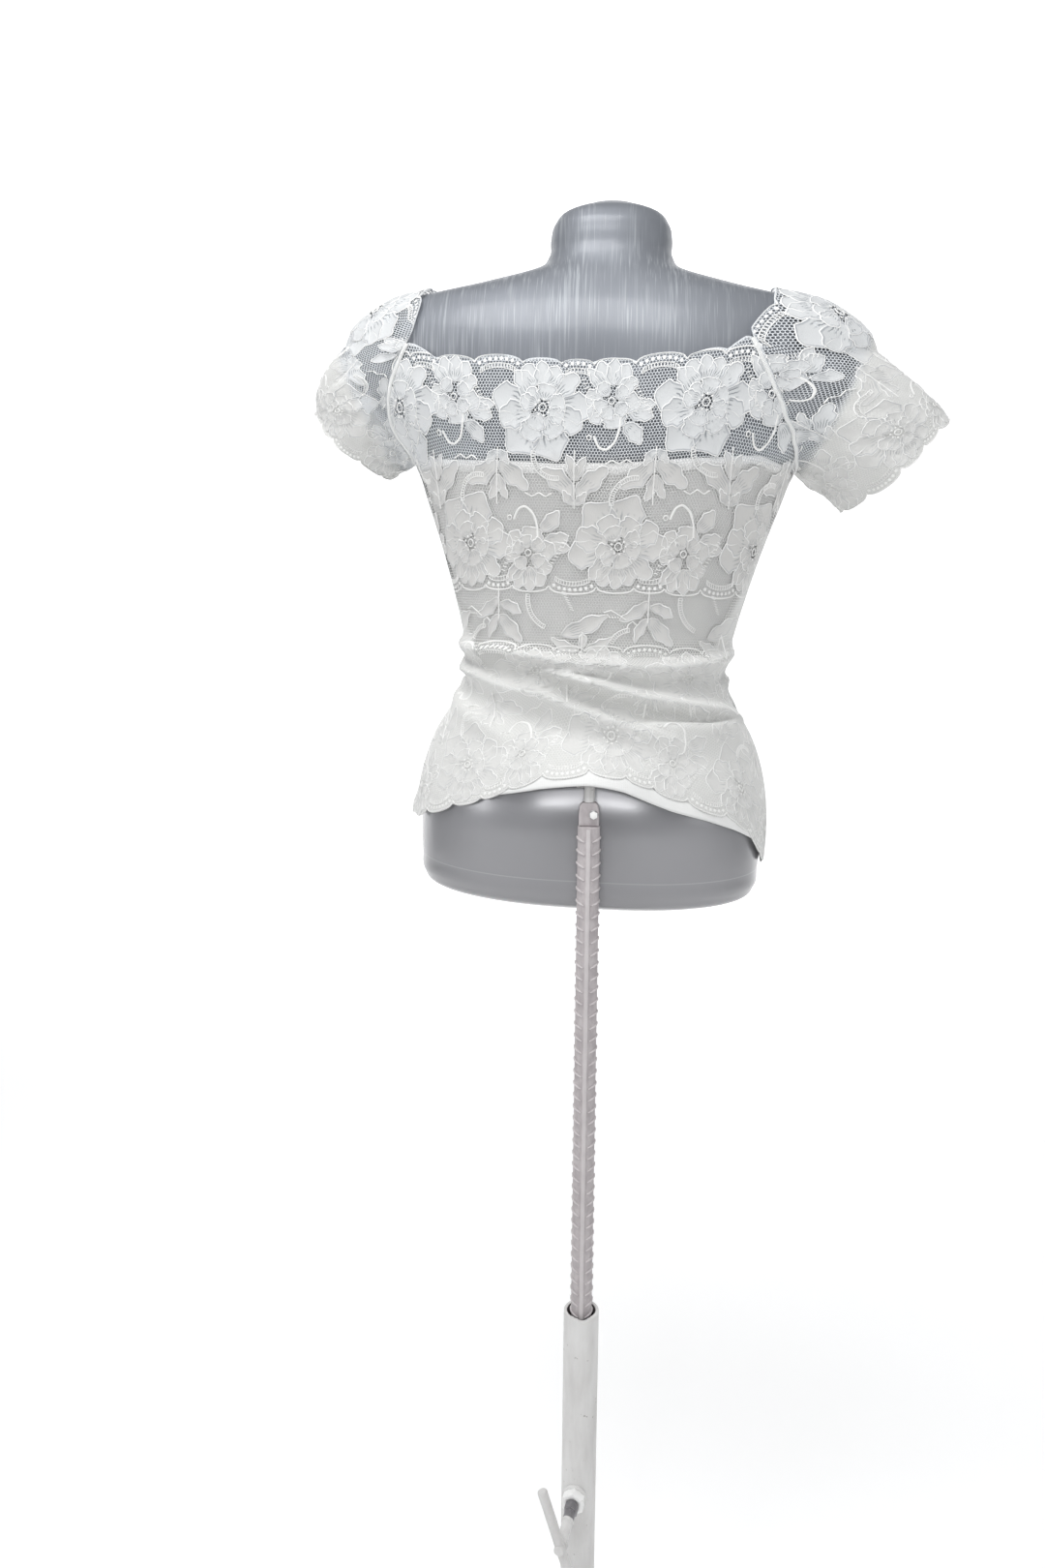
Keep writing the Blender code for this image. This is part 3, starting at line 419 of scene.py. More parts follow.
# %% Folds round the waist
Fold = namedtuple("Fold", "height above below line")
FOLD_STRENGTH = 2.5
SIDE_SHARE, MIDDLE_GAIN = 0.38, 0.62
FOLDS = [
    Fold(0.0062, 0.0042, 0.0125, [(-14, 0.236, 0), (4, 0.233, 0.8), (17, 0.230, 1),
         (51, 0.2275, 1), (66, 0.224, 1), (87, 0.2165, 1), (99, 0.216, 1), (121, 0.217, 1),
         (141, 0.2225, 1), (173, 0.230, 0.8), (194, 0.234, 0)]),
    Fold(0.0078, 0.0105, 0.0040, [(62, 0.212, 0), (74, 0.208, 0.6), (89, 0.197, 1), (97, 0.190, 1),
         (109, 0.182, 1), (127, 0.176, 1), (145, 0.172, 0.9), (161, 0.166, 0.6), (178, 0.160, 0)]),
    Fold(0.0082, 0.0044, 0.0110, [(-14, 0.222, 0), (4, 0.214, 0.7), (18, 0.208, 1), (37, 0.1995, 1),
         (55, 0.1905, 1), (73, 0.184, 1), (82, 0.1765, 1), (90, 0.169, 0.9), (104, 0.158, 0.8),
         (118, 0.152, 0.5), (132, 0.148, 0)]),
    Fold(0.0066, 0.0046, 0.0130, [(100, 0.163, 0), (110, 0.163, 0.7), (122, 0.161, 1),
         (136, 0.160, 1), (147, 0.162, 0.9), (158, 0.167, 0.5), (176, 0.172, 0)]),
    Fold(0.0050, 0.0050, 0.0095, [(-12, 0.190, 0), (8, 0.180, 0.8), (30, 0.169, 1),
         (48, 0.160, 0.9), (57, 0.153, 0.5), (66, 0.147, 0)]),
    Fold(0.0045, 0.0040, 0.0080, [(150, 0.196, 0), (163, 0.198, 0.8), (180, 0.202, 1),
         (205, 0.206, 0.7), (228, 0.208, 0)]),
    Fold(0.0060, 0.0045, 0.0110, [(166, 0.228, 0), (190, 0.230, 0.9), (225, 0.222, 1),
         (268, 0.216, 1), (310, 0.222, 1), (350, 0.233, 0.8), (372, 0.236, 0)]),
    Fold(0.0072, 0.0100, 0.0045, [(176, 0.176, 0), (205, 0.180, 0.8), (240, 0.184, 1),
         (290, 0.196, 1), (330, 0.208, 0.8), (356, 0.214, 0)]),
    Fold(0.0064, 0.0050, 0.0110, [(196, 0.150, 0), (226, 0.155, 0.8), (262, 0.160, 1),
         (310, 0.174, 1), (350, 0.188, 0.8), (374, 0.196, 0)]),
]
Flare = namedtuple("Flare", "angle spread rise spread_rise height")
FLARES = [
    Flare(0, 17, 0.070, 0.014, 0.005), Flare(300, 26, 0.050, 0.040, 0.005),
    Flare(238, 24, 0.040, 0.040, 0.004),
]
HOOK_TENT = Flare(90, 15, 0.112, 0.026, 0.0205)


def fold_height(angle, rise):
    """How far the bunched cloth stands out at each point."""
    total = np.zeros(np.broadcast(angle, rise).shape)
    for fold in FOLDS:
        angles, rises, shares = zip(*fold.line)
        for turned in (angle, angle - 360, angle + 360):
            away = rise - np.interp(turned, angles, rises)
            away = np.where(away > 0, away / fold.above, away / fold.below)
            facing = SIDE_SHARE + MIDDLE_GAIN * np.abs(np.sin(np.radians(turned)))
            strength = FOLD_STRENGTH * facing * fold.height * np.interp(turned, angles, shares)
            total = np.maximum(total, strength * np.exp(-away * away))
    return total


def flare_height(flare, angle, rise):
    away = (angle - flare.angle + 180) % 360 - 180
    down = np.maximum(0.0, rise - flare.rise)
    return (flare.height * np.exp(-(away / flare.spread) ** 2)
            * np.exp(-(down / flare.spread_rise) ** 2))


def cloth(angle, rise, out, folded):
    """Points on cloth that lies out from the body, with or without its folds."""
    stand_off = out + flare_height(HOOK_TENT, angle, rise)
    if folded:
        stand_off = stand_off + fold_height(angle, rise)
        for flare in FLARES:
            stand_off = stand_off + flare_height(flare, angle, rise)
    return body(angle, rise) + outward(angle, rise) * np.asarray(stand_off)[..., None]


print("folds:", len(FOLDS), "and flares:", len(FLARES) + 1)

# %% [markdown]
# ## The form's plastic
# The form is moulded plastic with a silver paint that was brushed on downwards, so fine light
# and dark streaks run from the neck over the shoulders. A texture that is stretched along the
# height gives the streaks their colour and their roughness, and a second, wider one breaks them
# into patches. The hips were rubbed smooth and shine in broad soft highlights.

# %% Silver plastic
def silver_plastic():
    recipe = Recipe("silver_plastic", Metallic=0.45, Coat_Roughness=0.20)
    round_it, down_it, rise = recipe.attribute("brush")
    place = recipe.object_space()
    along_brush = recipe.joined(round_it * 480, down_it * 12, down_it * 3)
    streaks = recipe.noise(along_brush, 1.0, 2.0, 0.55)
    lines = recipe.noise(recipe.joined(round_it * 1100, down_it * 18, 3.0), 1.0, 1.0)
    patches = recipe.noise(recipe.joined(round_it * 26, down_it * 9, 7.0), 1.0, 2.0)
    brushed = recipe.ramp(rise, 0.26, 0.44)
    marks = recipe.ramp(streaks, 0.46, 0.70) * recipe.ramp(patches, 0.38, 0.66) * brushed
    scratches = recipe.ramp(lines, 0.60, 0.72) * brushed
    wide = recipe.noise(place, (9, 9, 5), 2.0)
    low = recipe.mix(wide, (0.31, 0.31, 0.325, 1), (0.40, 0.40, 0.42, 1))
    high = recipe.mix(wide, (0.205, 0.218, 0.245, 1), (0.285, 0.302, 0.330, 1))
    # Darker towards the underside: painted shade where the lower edge rounds away from the light.
    low = recipe.mix(recipe.ramp(rise, 0.0, 0.09), (0.26, 0.26, 0.272, 1), low)
    base = recipe.mix(recipe.ramp(rise, 0.05, 0.40), low, high)
    # A narrow paler line round the form, just above its rounded underside.
    pale_rim_line = (1 - ((rise - 0.031) * 1400).math("ABSOLUTE").math("MINIMUM", 1.0)) * 0.22
    pale = marks * 0.30 + scratches * 0.24 + pale_rim_line
    recipe.feed("Coat Weight", 0.75 - recipe.ramp(rise, 0.14, 0.30) * 0.45)
    return recipe.finish(recipe.mix(pale, base, (0.70, 0.73, 0.76, 1)),
                         0.34 + brushed * 0.16 + streaks * brushed * 0.16,
                         streaks * brushed + lines * brushed * 0.5, 0.0002, 0.35)


SILVER = silver_plastic()
print("finish:", SILVER.name)

# %% [markdown]
# ## Pieces from points
# A mesh can be made straight from lists of points and faces. The form and all the cloth are
# grids, so one function numbers a grid's faces. Cloth is thin but not flat: a modifier gives it
# its wall. Numbers that the materials need are kept as attributes of the points.

# %% Pieces from grids of points
def grid_faces(rows, columns, closed):
    """Four-sided faces over a grid of points, round a loop where it is closed."""
    r, c = np.meshgrid(np.arange(rows - 1), np.arange(columns if closed else columns - 1),
                       indexing="ij")
    after = (c + 1) % columns
    quads = np.stack([r * columns + c, (r + 1) * columns + c, (r + 1) * columns + after,
                      r * columns + after], axis=-1)
    return quads.reshape(-1, 4)


def between(upper, lower, rows):
    """Rows of heights from one edge to another."""
    share = np.linspace(0, 1, rows)[:, None]
    return upper * (1 - share) + lower * share


def new_piece(name, points, faces, material):
    mesh = bpy.data.meshes.new(name)
    mesh.from_pydata(np.asarray(points).reshape(-1, 3).tolist(), [],
                     faces if isinstance(faces, list) else faces.tolist())
    mesh.update()
    mesh.shade_smooth()
    mesh.materials.append(material)
    made = bpy.data.objects.new(name, mesh)
    bpy.context.scene.collection.objects.link(made)
    return made


def set_attribute(piece, name, values):
    layer = piece.data.attributes.new(name, "FLOAT_VECTOR", "POINT")
    layer.data.foreach_set("vector", np.asarray(values, float).reshape(-1))


def triangles(piece):
    return sum(len(p.vertices) - 2 for p in piece.data.polygons)


def apply_modifier(piece, kind, **settings):
    """Gives a piece a modifier and applies it at once."""
    bpy.ops.object.select_all(action="DESELECT")
    bpy.context.view_layer.objects.active = piece
    piece.select_set(True)
    modifier = piece.modifiers.new(kind.lower(), kind)
    for name, value in settings.items():
        setattr(modifier, name, value)
    bpy.ops.object.modifier_apply(modifier=modifier.name)


def thicken(piece, thickness):
    """A sheet gets its wall on its inner side, so that its outer side stays where it was."""
    apply_modifier(piece, "SOLIDIFY", thickness=thickness, offset=-1)


def cloth_sheet(name, points, faces, flat, material, thickness, facing=None):
    """Thin cloth through a grid of points. Flat keeps where each point lies on the cut."""
    made = new_piece(name, points, faces, material)
    set_attribute(made, "flat", np.stack(np.broadcast_arrays(*flat), axis=-1))
    middle = made.data.polygons[len(made.data.polygons) // 2]
    if facing is not None and middle.normal.dot(Vector(facing)) < 0:
        made.data.flip_normals()
    thicken(made, thickness)
    return made


print("faces of a grid of 3 by 4 points:", len(grid_faces(3, 4, False)))

# %% [markdown]
# ## The dress form
# The form could be carved from a primitive, but the cloth has to lie on it to a tenth of a
# millimetre, so it is lofted from the same function as the cloth: rings of points, one above
# the other, closed by a fan at each end.

# %% The form's shell
RING_COUNT = 190
AROUND = 220
section_rises = np.array([s.rise for s in FORM_SECTIONS])
ring_rises = np.interp(np.linspace(0, 1, RING_COUNT),
                       np.linspace(0, 1, len(section_rises)), section_rises)
ring_angles = np.linspace(0, 360, AROUND, endpoint=False)
rings = body(ring_angles[None, :], ring_rises[:, None], bridged=False)
form_points = rings.reshape(-1, 3)
low_middle = rings[0].mean(axis=0)
top_middle = rings[-1].mean(axis=0) + np.array([0, 0, 0.002])
count = len(form_points)
shell_faces = grid_faces(RING_COUNT, AROUND, True)[:, ::-1].tolist()
low_fan = [[count, (c + 1) % AROUND, c] for c in range(AROUND)]
top_start = (RING_COUNT - 1) * AROUND
top_fan = [[count + 1, top_start + c, top_start + (c + 1) % AROUND] for c in range(AROUND)]
dress_form = new_piece("form_shell", np.vstack([form_points, low_middle, top_middle]),
                       shell_faces + low_fan + top_fan, SILVER)
meridian = np.linalg.norm(np.diff(rings, axis=0), axis=2)
down = np.concatenate([np.zeros((1, AROUND)), np.cumsum(meridian, axis=0)])
brush = np.stack([rings[..., 0], down, np.broadcast_to(ring_rises[:, None], down.shape)], axis=-1)
brush = np.vstack([brush.reshape(-1, 3), brush[0].mean(axis=0), brush[-1].mean(axis=0)])
set_attribute(dress_form, "brush", brush)
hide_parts("dress_form")
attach(dress_form, "form")
form_tree = BVHTree.FromPolygons([Vector(p) for p in form_points], shell_faces)
print("form_shell triangles:", triangles(dress_form))

# %% [markdown]
# ## The lining
# The lining is a strapless tube of white jersey, cut as a back and a front. Its top and its hem
# are turned in and stitched, which makes two thicker bands. Under the lace it is what makes the
# body opaque. Jersey is knitted, so close up it shows fine upright ribs.

# %% Jersey
def jersey():
    recipe = Recipe("jersey", Sheen_Weight=0.35, Sheen_Roughness=0.5)
    u, v, band = recipe.attribute("flat")
    ribs = (u * 4200).math("SINE") * 0.5 + 0.5
    rows = (v * 5200).math("SINE") * 0.5 + 0.5
    place = recipe.object_space()
    tone = recipe.ramp(recipe.noise(place, 35, 3.0), 0.3, 0.7)
    base = recipe.mix(tone, (0.62, 0.62, 0.61, 1), (0.69, 0.69, 0.675, 1))
    base = recipe.mix(ribs * rows * 0.25, base, (0.63, 0.64, 0.64, 1))
    turned_in = recipe.mix(recipe.ramp(v, 0.15, 0.30), (0.85, 0.855, 0.845, 1),
                           (0.99, 0.99, 0.985, 1))
    stitches = ((u * 2400).math("SINE") > 0.1) * (band > 1.4)
    return recipe.finish(recipe.mix(recipe.ramp(band, 0.2, 0.6), base, turned_in),
                         0.62 + tone * 0.12, ribs * 0.5 + rows * 0.3 - stitches * 1.5,
                         0.0003, 0.5)


JERSEY = jersey()
LINING_OUT = 0.0014
LINING_THICK = 0.0009
LINING_COLUMNS = LINING_ROWS = 120
TOP_BAND, HEM_BAND = 0.008, 0.013
BAND_EXTRA, BAND_STEP, SEAM_HALF = 0.0016, 0.0015, 0.0009
SIDE_GAP = 0.06
BODY_RADIUS = 0.15


def lining_piece(name, start, end):
    angles = np.linspace(start + SIDE_GAP, end - SIDE_GAP, LINING_COLUMNS)
    top, hem = along(LINING_TOP, angles), along(LINING_HEM, angles)
    rises = between(top, hem, LINING_ROWS)
    from_top, from_hem = top - rises, rises - hem
    bands = (np.clip((TOP_BAND - from_top) / BAND_STEP, 0, 1)
             + np.clip((HEM_BAND - from_hem) / BAND_STEP, 0, 1))
    angles = np.broadcast_to(angles, rises.shape)
    points = cloth(angles, rises, LINING_OUT + LINING_THICK + BAND_EXTRA * bands, False)
    seam = ((np.abs(from_top - TOP_BAND + 0.001) < SEAM_HALF)
            | (np.abs(from_hem - HEM_BAND + 0.0015) < SEAM_HALF))
    reach = np.radians(angles - 90) * BODY_RADIUS
    return cloth_sheet(name, points, grid_faces(*rises.shape, False),
                       (reach, rises, bands + seam), JERSEY, LINING_THICK)


lining_back = lining_piece("lining_back_cloth", 0, 180)
lining_front = lining_piece("lining_front_cloth", 180, 360)
for cloth_piece, node in ((lining_back, "lining_back"), (lining_front, "lining_front")):
    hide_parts(node)
    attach(cloth_piece, "form")
print("lining triangles:", triangles(lining_back) + triangles(lining_front))

# %% [markdown]
# ## The lace's drawing
# Floral lace is knitted on one fine net and repeats across it. One repeat holds a large and a
# small flower below a scalloped edge, leaves, a curled tendril and ladders of small holes. The
# next row is the same drawing turned upside down and moved by half a repeat. The drawing below
# is made once in millimetres, with x across and y up from the large flower's middle.

# %% Petals and lines of one repeat
REPEAT = 132.0
EDGE_Y = 34.0
BAND = 176.0
Petal = namedtuple("Petal", "x y tip_x tip_y width point layer")
BIG_FLOWER = [Petal(*row) for row in (
    (-6, 16, -15, 33, 13, 0.5, 1), (3, 16, 12, 32, 13, 0.5, 1),
    (-1, 15, -2, 36, 13, 0.8, 2),
    (-8, 8, -24, 28, 14, 0.7, 1), (9, 8, 29, 25, 15, 0.5, 1),
    (-13, 2, -42, 10, 20, 0.3, 1), (12, 1, 42, 0, 20, 0.3, 1),
    (-9, -4, -36, -9, 19, 0.3, 2), (9, -5, 33, -15, 18, 0.4, 2),
    (-6, -12, -30, -34, 27, 0.9, 0), (3, -13, 14, -41, 27, 1.0, 0),
    (-3, -7, -14, -24, 17, 0.2, 3), (3, -7, 13, -22, 17, 0.2, 3),
    (-4, 3, -19, 6, 12, 0.2, 4), (1, 5, 4, 18, 14, 0.1, 4),
    (5, 1, 18, 5, 13, 0.1, 4), (4, -3, 17, -9, 12, 0.1, 4),
    (-2, -4, -6, -17, 14, 0.1, 4), (-3, 3, -12, 15, 10, 0.2, 3),
)]
SMALL_AT = (55.6, 6.5)
SMALL_FLOWER = [Petal(*row) for row in (
    (-2, 11, -9, 27, 10, 0.5, 1), (2, 11, 12, 25, 10, 0.5, 1),
    (1, 10, 2, 30, 10, 0.8, 2),
    (-5, 6, -18, 22, 9, 0.9, 0), (5, 5, 18, 14, 10, 0.4, 1),
    (5, 0, 21, -4, 12, 0.3, 1), (-4, -4, -15, -15, 12, 0.5, 1),
    (-6, 1, -19, 2, 11, 0.4, 1), (1, -5, 3, -19, 15, 0.2, 1),
    (3, 2, 12, 8, 9, 0.1, 3), (3, -2, 11, -9, 9, 0.1, 3),
    (-2, 3, -8, 12, 9, 0.1, 3), (-3, -1, -12, -5, 9, 0.1, 3),
    (0, -3, -3, -13, 9, 0.1, 3),
    (12, -7, 31, -13, 11, 0.8, 0), (10, -16, 23, -31, 10, 0.7, 0),
    (14, -3, 33, -4, 8, 0.8, 0),
)]
SPRIG = [Petal(*row) for row in (
    (-39, -41, -67, -61, 16, 0.6, 0), (-37, -41, -11, -64, 16, 0.7, 0),
    (-38, -33, -48, -45, 8, 0.9, 1), (-38, -33, -28, -44, 8, 0.9, 1),
    (-38, -52, -46, -73, 10, 1.0, 0), (-38, -52, -29, -72, 9, 1.0, 0),
)]
SPRAY = [Petal(*row) for row in (
    (-38, -11, -63, -28, 11, 0.8, 0), (-37, -15, -16, -24, 10, 0.6, 0),
    (-38, -25, -49, -47, 9, 0.9, 0), (-37, -25, -15, -49, 14, 0.8, 0),
    (20, -42, 60, -23, 15, 0.8, 0), (36, -55, 11, -44, 10, 0.9, 1),
    (41, -54, 64, -42, 10, 0.9, 1), (38, -53, 38, -38, 8, 1.0, 1),
)]
TENDRIL = [(8, -13), (7.5, -22), (4, -32), (-3, -38), (-9, -36), (-12, -30), (-13, -27)]
BIG_RING, BIG_DASHES, SMALL_RING = 3.0, 6.2, 2.6
ARCH_ENDS = (-17.0, 14.5, 41.0, 74.0, 115.0)
ARCH_RISE = 0.17
print("petals in a repeat:", len(BIG_FLOWER) + len(SMALL_FLOWER) + len(SPRIG) + len(SPRAY))

# %% [markdown]
# A petal is a small raised leaf of mesh. Its outline carries a thick cord, one step inside the
# cord drops to the fill, and the fill closes on a line along the petal's middle. Three numbers
# are kept at each point for the material: how far along the petal it lies, how far to the
# side, and whether it is on the cord. Each ring of a petal has an inset, a height and a cord
# number.

# %% Drawing tools
ROOT_GAP, CORE_SHARE = 0.14, 0.74
FIRST_LIFT, LAYER_LIFT = 0.16, 0.09
PETAL_RINGS = ((0.0, -0.12, 1.0), (0.55, 0.36, 1.0), (1.20, 0.0, 0.0))
CORD_MARK = (0.9, 1.0, 1.0)


def circle(x, y, radius, steps):
    return [(x + radius * math.cos(2 * math.pi * i / steps),
             y + radius * math.sin(2 * math.pi * i / steps)) for i in range(steps)]


class Drawing:
    """Points, faces and material numbers of raised motifs, in millimetres on flat cloth."""

    def __init__(self):
        self.points, self.marks, self.groups, self.faces = [], [], [], []
        self.group = 0

    def add(self, points, marks, faces):
        first = len(self.points)
        self.points += points
        self.marks += marks
        self.groups += [self.group] * len(points)
        self.faces += [[i + first for i in face] for face in faces]
        self.group += 1

    def petal(self, row, stations=12, ruffle=0.10):
        root, tip = np.array([row.x, row.y], float), np.array([row.tip_x, row.tip_y], float)
        length = np.linalg.norm(tip - root)
        ahead = (tip - root) / length
        side = np.array([-ahead[1], ahead[0]])
        s = 0.5 - 0.5 * np.cos(np.pi * np.arange(stations) / (stations - 1))
        half = s ** 0.62 * (1 - s) ** (0.30 + 0.62 * row.point)
        half = half / half.max() * row.width / 2
        half = half * (1 + ruffle * np.sin(s * 15 + row.x + row.tip_y * 0.4) * (0.3 + s))
        bow = math.sin(row.tip_x * 1.7 + row.y) * 0.07 * length * np.sin(np.pi * s)
        spine = root + np.outer(s * length, ahead) + np.outer(bow, side)
        left = spine + np.outer(half, side)
        right_side = spine - np.outer(half, side)
        outline = np.vstack([left, right_side[-2:0:-1]])
        station = list(range(stations)) + list(range(stations - 2, 0, -1))
        sides = [1] * stations + [-1] * (stations - 2)
        core_way = ROOT_GAP + CORE_SHARE * s
        core = root + np.outer(core_way * length, ahead) + np.outer(bow, side)
        lift = FIRST_LIFT + LAYER_LIFT * row.layer
        points, marks = [], []
        for inset, height, cord in PETAL_RINGS:
            for spot, place, beside in zip(outline, station, sides):
                to_core = core[place] - spot
                away = max(np.linalg.norm(to_core), 1e-6)
                points.append((*(spot + to_core * min(0.8, inset / away)), lift + height))
                marks.append((s[place], beside * (1 - 0.12 * inset), cord))
        points += [(*spot, lift + 0.05) for spot in core]
        marks += [(way, 0.0, -1.0) for way in core_way]
        count = len(outline)
        faces = grid_faces(3, count, True).tolist()
        for i in range(count):
            after = (i + 1) % count
            a, b = 3 * count + station[i], 3 * count + station[after]
            faces.append([2 * count + i, a, b, 2 * count + after])
        self.add(points, marks, faces)

    def cord(self, path, half_width=0.5, height=0.5, lift=0.3, closed=False):
        path = np.asarray(path, float)
        before = np.roll(path, 1, axis=0) if closed else np.vstack([path[:1], path[:-1]])
        after = np.roll(path, -1, axis=0) if closed else np.vstack([path[1:], path[-1:]])
        run = after - before
        run = run / np.maximum(np.linalg.norm(run, axis=1, keepdims=True), 1e-6)
        side = np.stack([-run[:, 1], run[:, 0]], axis=1) * half_width
        points, marks, faces = [], [], []
        for spot, step in zip(path, side):
            points += [(*(spot + step), lift - 0.2), (*spot, lift + height),
                       (*(spot - step), lift - 0.2)]
            marks += [CORD_MARK] * 3
        count = len(path)
        for i in range(count if closed else count - 1):
            a, b = 3 * i, 3 * ((i + 1) % count)
            faces += [[a, a + 1, b + 1, b], [a + 1, a + 2, b + 2, b + 1]]
        self.add(points, marks, faces)

    def bead(self, x, y, radius, height=0.45, lift=0.3, sides=6):
        rim = [(*spot, lift - 0.15) for spot in circle(x, y, radius, sides)]
        faces = [[0, 1 + i, 1 + (i + 1) % sides] for i in range(sides)]
        self.add([(x, y, lift + height), *rim], [CORD_MARK] * (sides + 1), faces)


def arch_height(x):
    """The scalloped edge's height above its roots: uneven round arches."""
    x = (np.asarray(x, float) - ARCH_ENDS[0]) % REPEAT + ARCH_ENDS[0]
    ends = np.array(ARCH_ENDS)
    i = np.clip(np.searchsorted(ends, x, side="right") - 1, 0, len(ends) - 2)
    width = ends[i + 1] - ends[i]
    share = np.clip((x - ends[i]) / width, 0, 1)
    return width * ARCH_RISE * np.sqrt(np.maximum(0.0, 1 - (2 * share - 1) ** 2)) ** 0.8


print("arch heights at four places, mm:", np.round(arch_height([0, 28, 57, 95]), 1))

# %% [markdown]
# The repeat is drawn in the order in which it lies: flowers first, then their rings, the
# tendril and stems, and last the scalloped edge with its beads, rails and rungs. What hangs
# between two rows of flowers is a drawing of its own, because it isn't turned upside down.

# %% One repeat of the half band
BIG_WIDER = 1.18
SMALL_LARGER, SMALL_WIDER = 1.12, 1.36
FLOWER_RUFFLE, LEAF_RUFFLE = 0.15, 0.24
RAILS = (8.5, 12.0)
RAIL_TURN, RAIL_WIDTH, RAIL_RISE = 1.1, 0.82, 1.15
TOOTH = 3.4


def draw_repeat():
    """The upright half of the band, from its scalloped edge to the middle."""
    made = Drawing()
    for row in BIG_FLOWER:
        made.petal(row._replace(width=row.width * BIG_WIDER), ruffle=FLOWER_RUFFLE)
    for row in SPRIG:
        made.petal(row, ruffle=LEAF_RUFFLE)
    for row in SMALL_FLOWER:
        made.petal(row._replace(x=row.x * SMALL_LARGER + SMALL_AT[0],
                                y=row.y * SMALL_LARGER + SMALL_AT[1],
                                tip_x=row.tip_x * SMALL_LARGER + SMALL_AT[0],
                                tip_y=row.tip_y * SMALL_LARGER + SMALL_AT[1],
                                width=row.width * SMALL_WIDER), ruffle=FLOWER_RUFFLE)
    made.cord(circle(0, 0, BIG_RING, 10), lift=0.9, closed=True)
    made.cord(circle(*SMALL_AT, SMALL_RING, 10), lift=0.8, closed=True)
    for i in range(9):
        turn = 2 * math.pi * i / 9
        spoke = np.array([math.cos(turn), math.sin(turn)])
        made.cord([spoke * (BIG_DASHES - 0.9), spoke * (BIG_DASHES + 0.7)], 0.8, 0.3, lift=0.85)
    tendril = np.array(TENDRIL, float) + SMALL_AT
    fine = np.stack([np.interp(np.linspace(0, 6, 19), range(7), tendril[:, k])
                     for k in (0, 1)], axis=1)
    fine[1:-1] = (fine[:-2] + 2 * fine[1:-1] + fine[2:]) / 4
    made.cord(fine, half_width=0.95, height=0.5)
    made.cord(circle(SMALL_AT[0] - 17, SMALL_AT[1] - 28.5, 1.9, 8), closed=True)
    made.cord([(-38, -30), (-38.5, -44), (-39, -58), (-39, -76)], half_width=0.6)
    made.cord([(-14, -66), (-8, -69), (-2, -66), (4, -69), (9, -66)], half_width=0.6)
    draw_edge(made)
    for x, y, tip_x, tip_y in ((33, 22, 45, -6), (73, 20, 88, -4)):
        shares = [i / 9 for i in range(10)]
        spots = [np.array([x + (tip_x - x) * t, y + (tip_y - y) * t]) for t in shares]
        draw_ladder(made, spots, (1.8, 0.6))
    draw_comb(made, (11.0, -36.0), 20.0, 172, 281)
    return made


def draw_edge(made):
    """The edge cord with its picots, and the beads and holes inside the open arches."""
    for number, (start, end) in enumerate(zip(ARCH_ENDS, ARCH_ENDS[1:])):
        xs = np.linspace(start, end, 15)
        heights = arch_height(np.clip(xs, start + 0.01, end - 0.01))
        made.cord(np.stack([xs, EDGE_Y + heights - 0.6], axis=1), 0.55, 0.5)
        for x in np.arange(start + 1.2, end - 0.6, 2.1):
            made.bead(x, EDGE_Y + float(arch_height(x)) - 0.4, 0.75, 0.3)
        if number % 2 == 0:
            continue
        middle, half = (start + end) / 2, (end - start) / 2
        steps = round((end - start) / 5)
        for i in range(steps):
            share = (i + 0.5) / steps * 2 - 1
            lift = (end - start) * ARCH_RISE * math.sqrt(1 - share * share)
            made.bead(middle + share * half * 0.9, EDGE_Y + lift - 4.2, 1.7, 0.4, sides=5)

        def on_rail(t, drop):
            rise = (end - start) * ARCH_RISE * RAIL_RISE * math.cos(t)
            return middle + half * RAIL_WIDTH * math.sin(t), EDGE_Y - drop + rise

        for drop in RAILS:
            turns = np.linspace(-RAIL_TURN, RAIL_TURN, 12)
            made.cord([on_rail(t, drop) for t in turns], 0.35, 0.35)
        rungs = round((end - start) / 2.8)
        for i in range(rungs):
            t = (i / (rungs - 1) * 2 - 1) * RAIL_TURN
            made.cord([on_rail(t, drop) for drop in RAILS], 0.4, 0.35)


def draw_ladder(made, spots, reach):
    """Short bars across a row of places."""
    for spot in spots:
        made.cord([spot - reach, spot + reach], 0.42, 0.35)


def draw_comb(made, centre, radius, start, end):
    """A wide arc with short teeth on its inner side."""
    turns = np.linspace(math.radians(start), math.radians(end), 16)
    spokes = np.stack([np.cos(turns), np.sin(turns)], axis=1)
    made.cord(np.array(centre) + radius * spokes, 0.5, 0.4)
    made.cord(np.array(centre) + (radius - TOOTH) * spokes, 0.35, 0.3)
    for t in np.linspace(turns[0], turns[-1], round(radius * abs(turns[-1] - turns[0]) / 2.0)):
        spoke = np.array([math.cos(t), math.sin(t)])
        made.cord([centre + spoke * radius, centre + spoke * (radius - TOOTH)], 0.4, 0.3)


def draw_spray():
    """What hangs between two rows of flowers: leaf sprays, combs and small ladders."""
    made = Drawing()
    for row in SPRAY:
        made.petal(row, ruffle=LEAF_RUFFLE)
    made.cord([(-38, -2), (-38, -14), (-38, -29)], half_width=0.6)
    made.cord([(-76, -21), (-70, -19), (-63, -23), (-57, -27)], half_width=0.5)
    made.cord([(-56, -38), (-55, -31), (-51, -28), (-47, -32)], half_width=0.5)
    made.cord([(38, -57), (38, -40)], half_width=0.5)
    draw_comb(made, (16.0, -11.0), 28.0, 172, 246)
    draw_comb(made, (-52.0, -54.0), 20.0, 95, 158)
    spots = [np.array([21.0 + 1.1 * i, -5.0 - 2.1 * i]) for i in range(8)]
    draw_ladder(made, spots, (1.8, -0.5))
    for i in range(4):
        made.bead(-71 + 2.4 * i, -25.0, 0.9)
    return made


